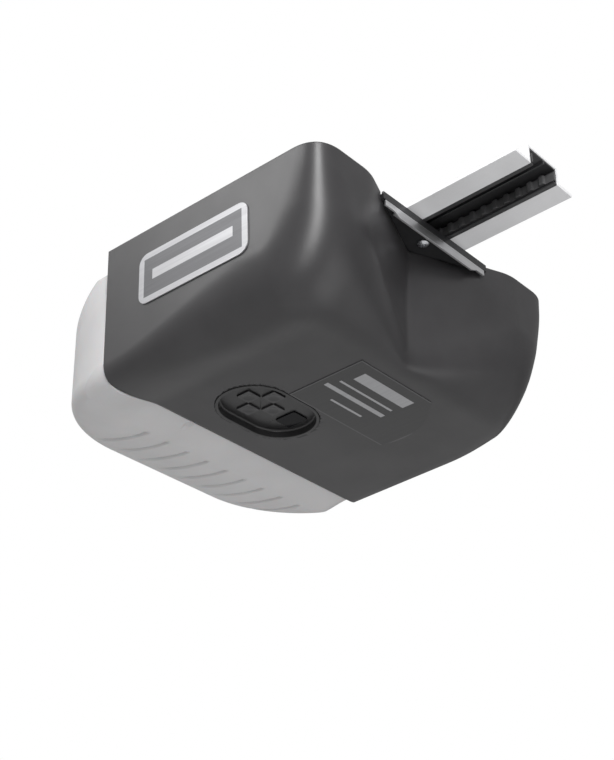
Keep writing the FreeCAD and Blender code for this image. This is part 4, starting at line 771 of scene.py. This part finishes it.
def lens_grid():
    """Sections from the bottom rim, round the rear and back to the top rim."""
    columns = lens_columns()
    turn = np.linspace(-math.pi / 2, math.pi / 2, LENS_RAYS)
    centre = np.array([LENS_FRONT, 0.0, LENS_MIDDLE])
    aim = centre + AIM_REACH * np.stack([-np.cos(turn), 0 * turn, np.sin(turn)], axis=1)
    grid = np.empty((len(columns), LENS_ROWS, 3))
    for i, share in enumerate(columns):
        line = cast_rays(lens_section(share), centre, aim)
        line[:, 1] = share * lens_half(line[:, 2])
        grid[i] = points_at(line, spread_evenly(line, LENS_ROWS))
    under = step(-grid[..., 2], -FLUTES_TOP, -FLUTES_FULL)
    grid[..., 2] += flute_depth(grid[..., 0], grid[..., 1]) * under
    sides = []
    for end in (grid[0], grid[-1]):
        for part in SIDE_STEPS:
            cap = end.copy()
            cap[:, 0] = LENS_FRONT + (end[:, 0] - LENS_FRONT) * (1.0 - part)
            sides.append(cap)
    return np.concatenate([np.array(sides[2::-1]), grid, np.array(sides[3:])])


pale = plastic("lens_plastic", (0.44, 0.435, 0.44), (0.48, 0.475, 0.48), grain=1600.0,
               dull=0.42, bright=0.32, bump=0.004, Subsurface_Weight=0.12, Subsurface_Scale=0.002)
lens_mesh = grid_mesh("lens_shell", lens_grid(), (LENS_FRONT, 0.0, LENS_MIDDLE))
lens = new_piece("lens_shell", lens_mesh, pale, "lens", "lens_plastic", "light_lens")
thicken(lens, LENS_WALL, even=False)
settle(lens)


# ------------------------------------------------------------ control pad
# A sunk oval tray in the underside with four scooped keys and a dark window
# over the display. The tray's plastic is darker than the cover's: partly its own
# tone, partly painted shade for the sunk walls round it.
# Darker than the cover's plastic: partly the tray's own tone, partly painted shade for its sunk walls.
pad_plastic_and_painted_shade = plastic("pad_plastic_and_painted_shade", (0.010, 0.0098, 0.0102), (0.015, 0.0147, 0.0153), grain=2400.0,
                      dull=0.4, bright=0.3, bump=0.01)
window = plastic("smoked_window", (0.004, 0.004, 0.005), (0.006, 0.006, 0.007), grain=300.0,
                 dull=0.2, bright=0.12, bump=0.001, Specular_IOR_Level=0.08)
key_plastic = plastic("key_plastic", (0.022, 0.0215, 0.0225), (0.030, 0.0295, 0.031), grain=2400.0,
                      dull=0.36, bright=0.26, bump=0.01)
dress("control_pad", pad_plastic_and_painted_shade, edge=0.5)
dress("display_window", window, edge=0.2)
for name in ("key_set", "key_up", "key_down", "key_select"):
    dress(name, key_plastic, edge=0.3)


# ------------------------------------------------------------ plates on the outside
# A bright plate on the left side and a matt film on the underside. Both stay
# blank but for plain bands. The film's thin lighter rim is a painted highlight
# along its edges.
def printed_group(name, node, axes, rim, bands):
    """A brushed plate with a plain field inside its rim and pale bands, in shares of its box."""
    sockets = [("Rim", "Color", (0.6, 0.6, 0.6, 1)), ("Field", "Color", (0.4, 0.4, 0.4, 1)),
               ("Band", "Color", (0.7, 0.7, 0.7, 1)), ("Dull", "Float", 0.4), ("Bright", "Float", 0.3)]
    group, given, wanted = shader_group(name, sockets,
                                        [("Color", "Color"), ("Roughness", "Float"), ("Height", "Float")])
    place = add_node(group, "TexCoord").outputs["Object"]
    parts = add_node(group, "SeparateXYZ", {0: place}).outputs
    brush = add_node(group, "Mapping", {0: place, 3: (10.0, 500.0, 700.0)}).outputs[0]
    streak = add_node(group, "TexNoise", {"Vector": brush, "Scale": 1.0, "Detail": 3.0}).outputs[0]
    low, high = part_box(node)

    def patch(shares):
        sides = []
        for axis, (start, end) in zip(axes, shares):
            middle = low[axis] + (high[axis] - low[axis]) * (start + end) / 2.0
            reach = (high[axis] - low[axis]) * (end - start) / 2.0
            off = add_node(group, "Math", {0: parts[axis], 1: middle}, operation="SUBTRACT").outputs[0]
            size = add_node(group, "Math", {0: off}, operation="ABSOLUTE").outputs[0]
            sides.append(add_node(group, "Math", {0: size, 1: reach}, operation="LESS_THAN").outputs[0])
        return add_node(group, "Math", {0: sides[0], 1: sides[1]}, operation="MULTIPLY").outputs[0]

    tone = mix_colours(group, patch(rim), given["Rim"], given["Field"])
    for band in bands:
        tone = mix_colours(group, patch(band), tone, given["Band"])
    shade = add_node(group, "MapRange", {0: streak, 1: 0.3, 2: 0.7, 3: 0.88, 4: 1.0}).outputs[0]
    grey = add_node(group, "CombineXYZ", {0: shade, 1: shade, 2: shade}).outputs[0]
    group.links.new(mix_colours(group, 1.0, tone, grey, "MULTIPLY"), wanted["Color"])
    rough = add_node(group, "Mix", {0: streak, 2: given["Dull"], 3: given["Bright"]}).outputs[0]
    group.links.new(rough, wanted["Roughness"])
    group.links.new(streak, wanted["Height"])
    return group


badge_print = printed_group("badge_surface", "side_badge", (0, 2), ((0.05, 0.95), (0.12, 0.88)),
                            [((0.13, 0.87), (0.42, 0.62))])
badge_metal = surface_material("badge_metal", badge_print,
                               {"Rim": (0.34, 0.34, 0.35, 1), "Field": (0.10, 0.10, 0.105, 1),
                                "Band": (0.36, 0.36, 0.37, 1), "Dull": 0.42, "Bright": 0.3},
                               (0.4, 0.4, 0.4), metallic=0.6, bump=0.004)
# On the film the thin lighter rim (its Rim colour) is a painted highlight along its edges; its bands are
# print.
label_print_and_edge_light = printed_group("label_surface", "under_label", (0, 1), ((0.015, 0.985), (0.01, 0.985)),
                            [((0.70, 0.86), (0.14, 0.66)), ((0.56, 0.59), (0.10, 0.64)),
                             ((0.40, 0.46), (0.06, 0.66)), ((0.24, 0.27), (0.24, 0.56))])
label_film = surface_material("label_film", label_print_and_edge_light,
                              {"Rim": (0.06, 0.06, 0.062, 1), "Field": (0.018, 0.0175, 0.0185, 1),
                               "Band": (0.30, 0.30, 0.31, 1), "Dull": 0.36, "Bright": 0.28},
                              (0.03, 0.03, 0.03), bump=0.002)
dress("side_badge", badge_metal, edge=0.3)
dress("under_label", label_film, edge=0.12)


# ------------------------------------------------------------ floor, light and camera
# The opener hangs over a pale floor in a bright, plain room. Large soft lamps
# stand round it, and the camera looks up at it from the front left.
FLOOR_HALF = 12.0
FLOOR_Z = -1.6


def pale_floor():
    """A painted floor, well below the opener."""
    mesh = bpy.data.meshes.new("floor")
    corners = [(x * FLOOR_HALF, y * FLOOR_HALF, FLOOR_Z) for x, y in ((-1, -1), (1, -1), (1, 1), (-1, 1))]
    mesh.from_pydata(corners, [], [(0, 1, 2, 3)])
    floor = bpy.data.objects.new("floor", mesh)
    bpy.context.scene.collection.objects.link(floor)
    material = plastic("floor_paint", (0.80, 0.80, 0.80), (0.84, 0.84, 0.84), grain=60.0,
                       dull=0.7, bright=0.6, bump=0.0)
    mesh.materials.append(material)


def soft_lamp(name, place, aim, size, power):
    """A rectangular lamp that faces a point."""
    data = bpy.data.lights.new(name, "AREA")
    data.shape = "RECTANGLE"
    data.size, data.size_y = size
    data.energy = power
    lamp = bpy.data.objects.new(name, data)
    lamp.location = place
    lamp.rotation_mode = "QUATERNION"
    lamp.rotation_quaternion = (Vector(aim) - Vector(place)).to_track_quat("-Z", "Y")
    bpy.context.scene.collection.objects.link(lamp)


pale_floor()
world = bpy.data.worlds.new("pale_room")
bpy.context.scene.world = world
world.use_nodes = True
sky = world.node_tree
plain = sky.nodes["Background"]
plain.inputs["Color"].default_value = (1.0, 1.0, 1.0, 1.0)
plain.inputs["Strength"].default_value = 1.0
facing = add_node(sky, "SeparateXYZ", {0: add_node(sky, "TexCoord").outputs["Generated"]}).outputs
glow = add_node(sky, "MapRange", {0: facing["Z"], 1: -0.6, 2: 0.9, 3: 0.55, 4: 1.15}).outputs[0]
shady = add_node(sky, "MapRange", {0: facing["Y"], 1: -0.1, 2: 0.9, 3: 1.0, 4: 0.38}).outputs[0]
strength = add_node(sky, "Math", {0: glow, 1: shady}, operation="MULTIPLY").outputs[0]
room = add_node(sky, "Background", {"Strength": strength}).outputs[0]
seen = add_node(sky, "LightPath").outputs["Is Camera Ray"]
either = add_node(sky, "MixShader", {0: seen, 1: room, 2: plain.outputs[0]})
sky.links.new(either.outputs[0], sky.nodes["World Output"].inputs[0])
soft_lamp("lamp_tall_left", (0.88, -0.74, 0.18), (0.05, -0.06, -0.06), (0.34, 1.15), 15.0)
soft_lamp("lamp_left", (-0.5, -1.4, 1.0), (0.0, 0.0, -0.05), (1.2, 0.5), 9.0)
soft_lamp("lamp_front_low", (1.2, 0.3, -0.9), (0.05, 0.0, -0.07), (0.9, 0.9), 3.0)
bpy.context.scene.view_settings.view_transform = "Standard"

camera = bpy.data.objects.new("camera", bpy.data.cameras.new("camera"))
bpy.context.scene.collection.objects.link(camera)
camera.data.lens = 68.0
camera.data.sensor_width = 36.0
camera.location = (0.5616, -0.6504, -0.6029)
camera.rotation_mode = "QUATERNION"
camera.rotation_quaternion = Vector((-0.575, 0.634, 0.517)).to_track_quat("-Z", "Y")
bpy.context.scene.camera = camera
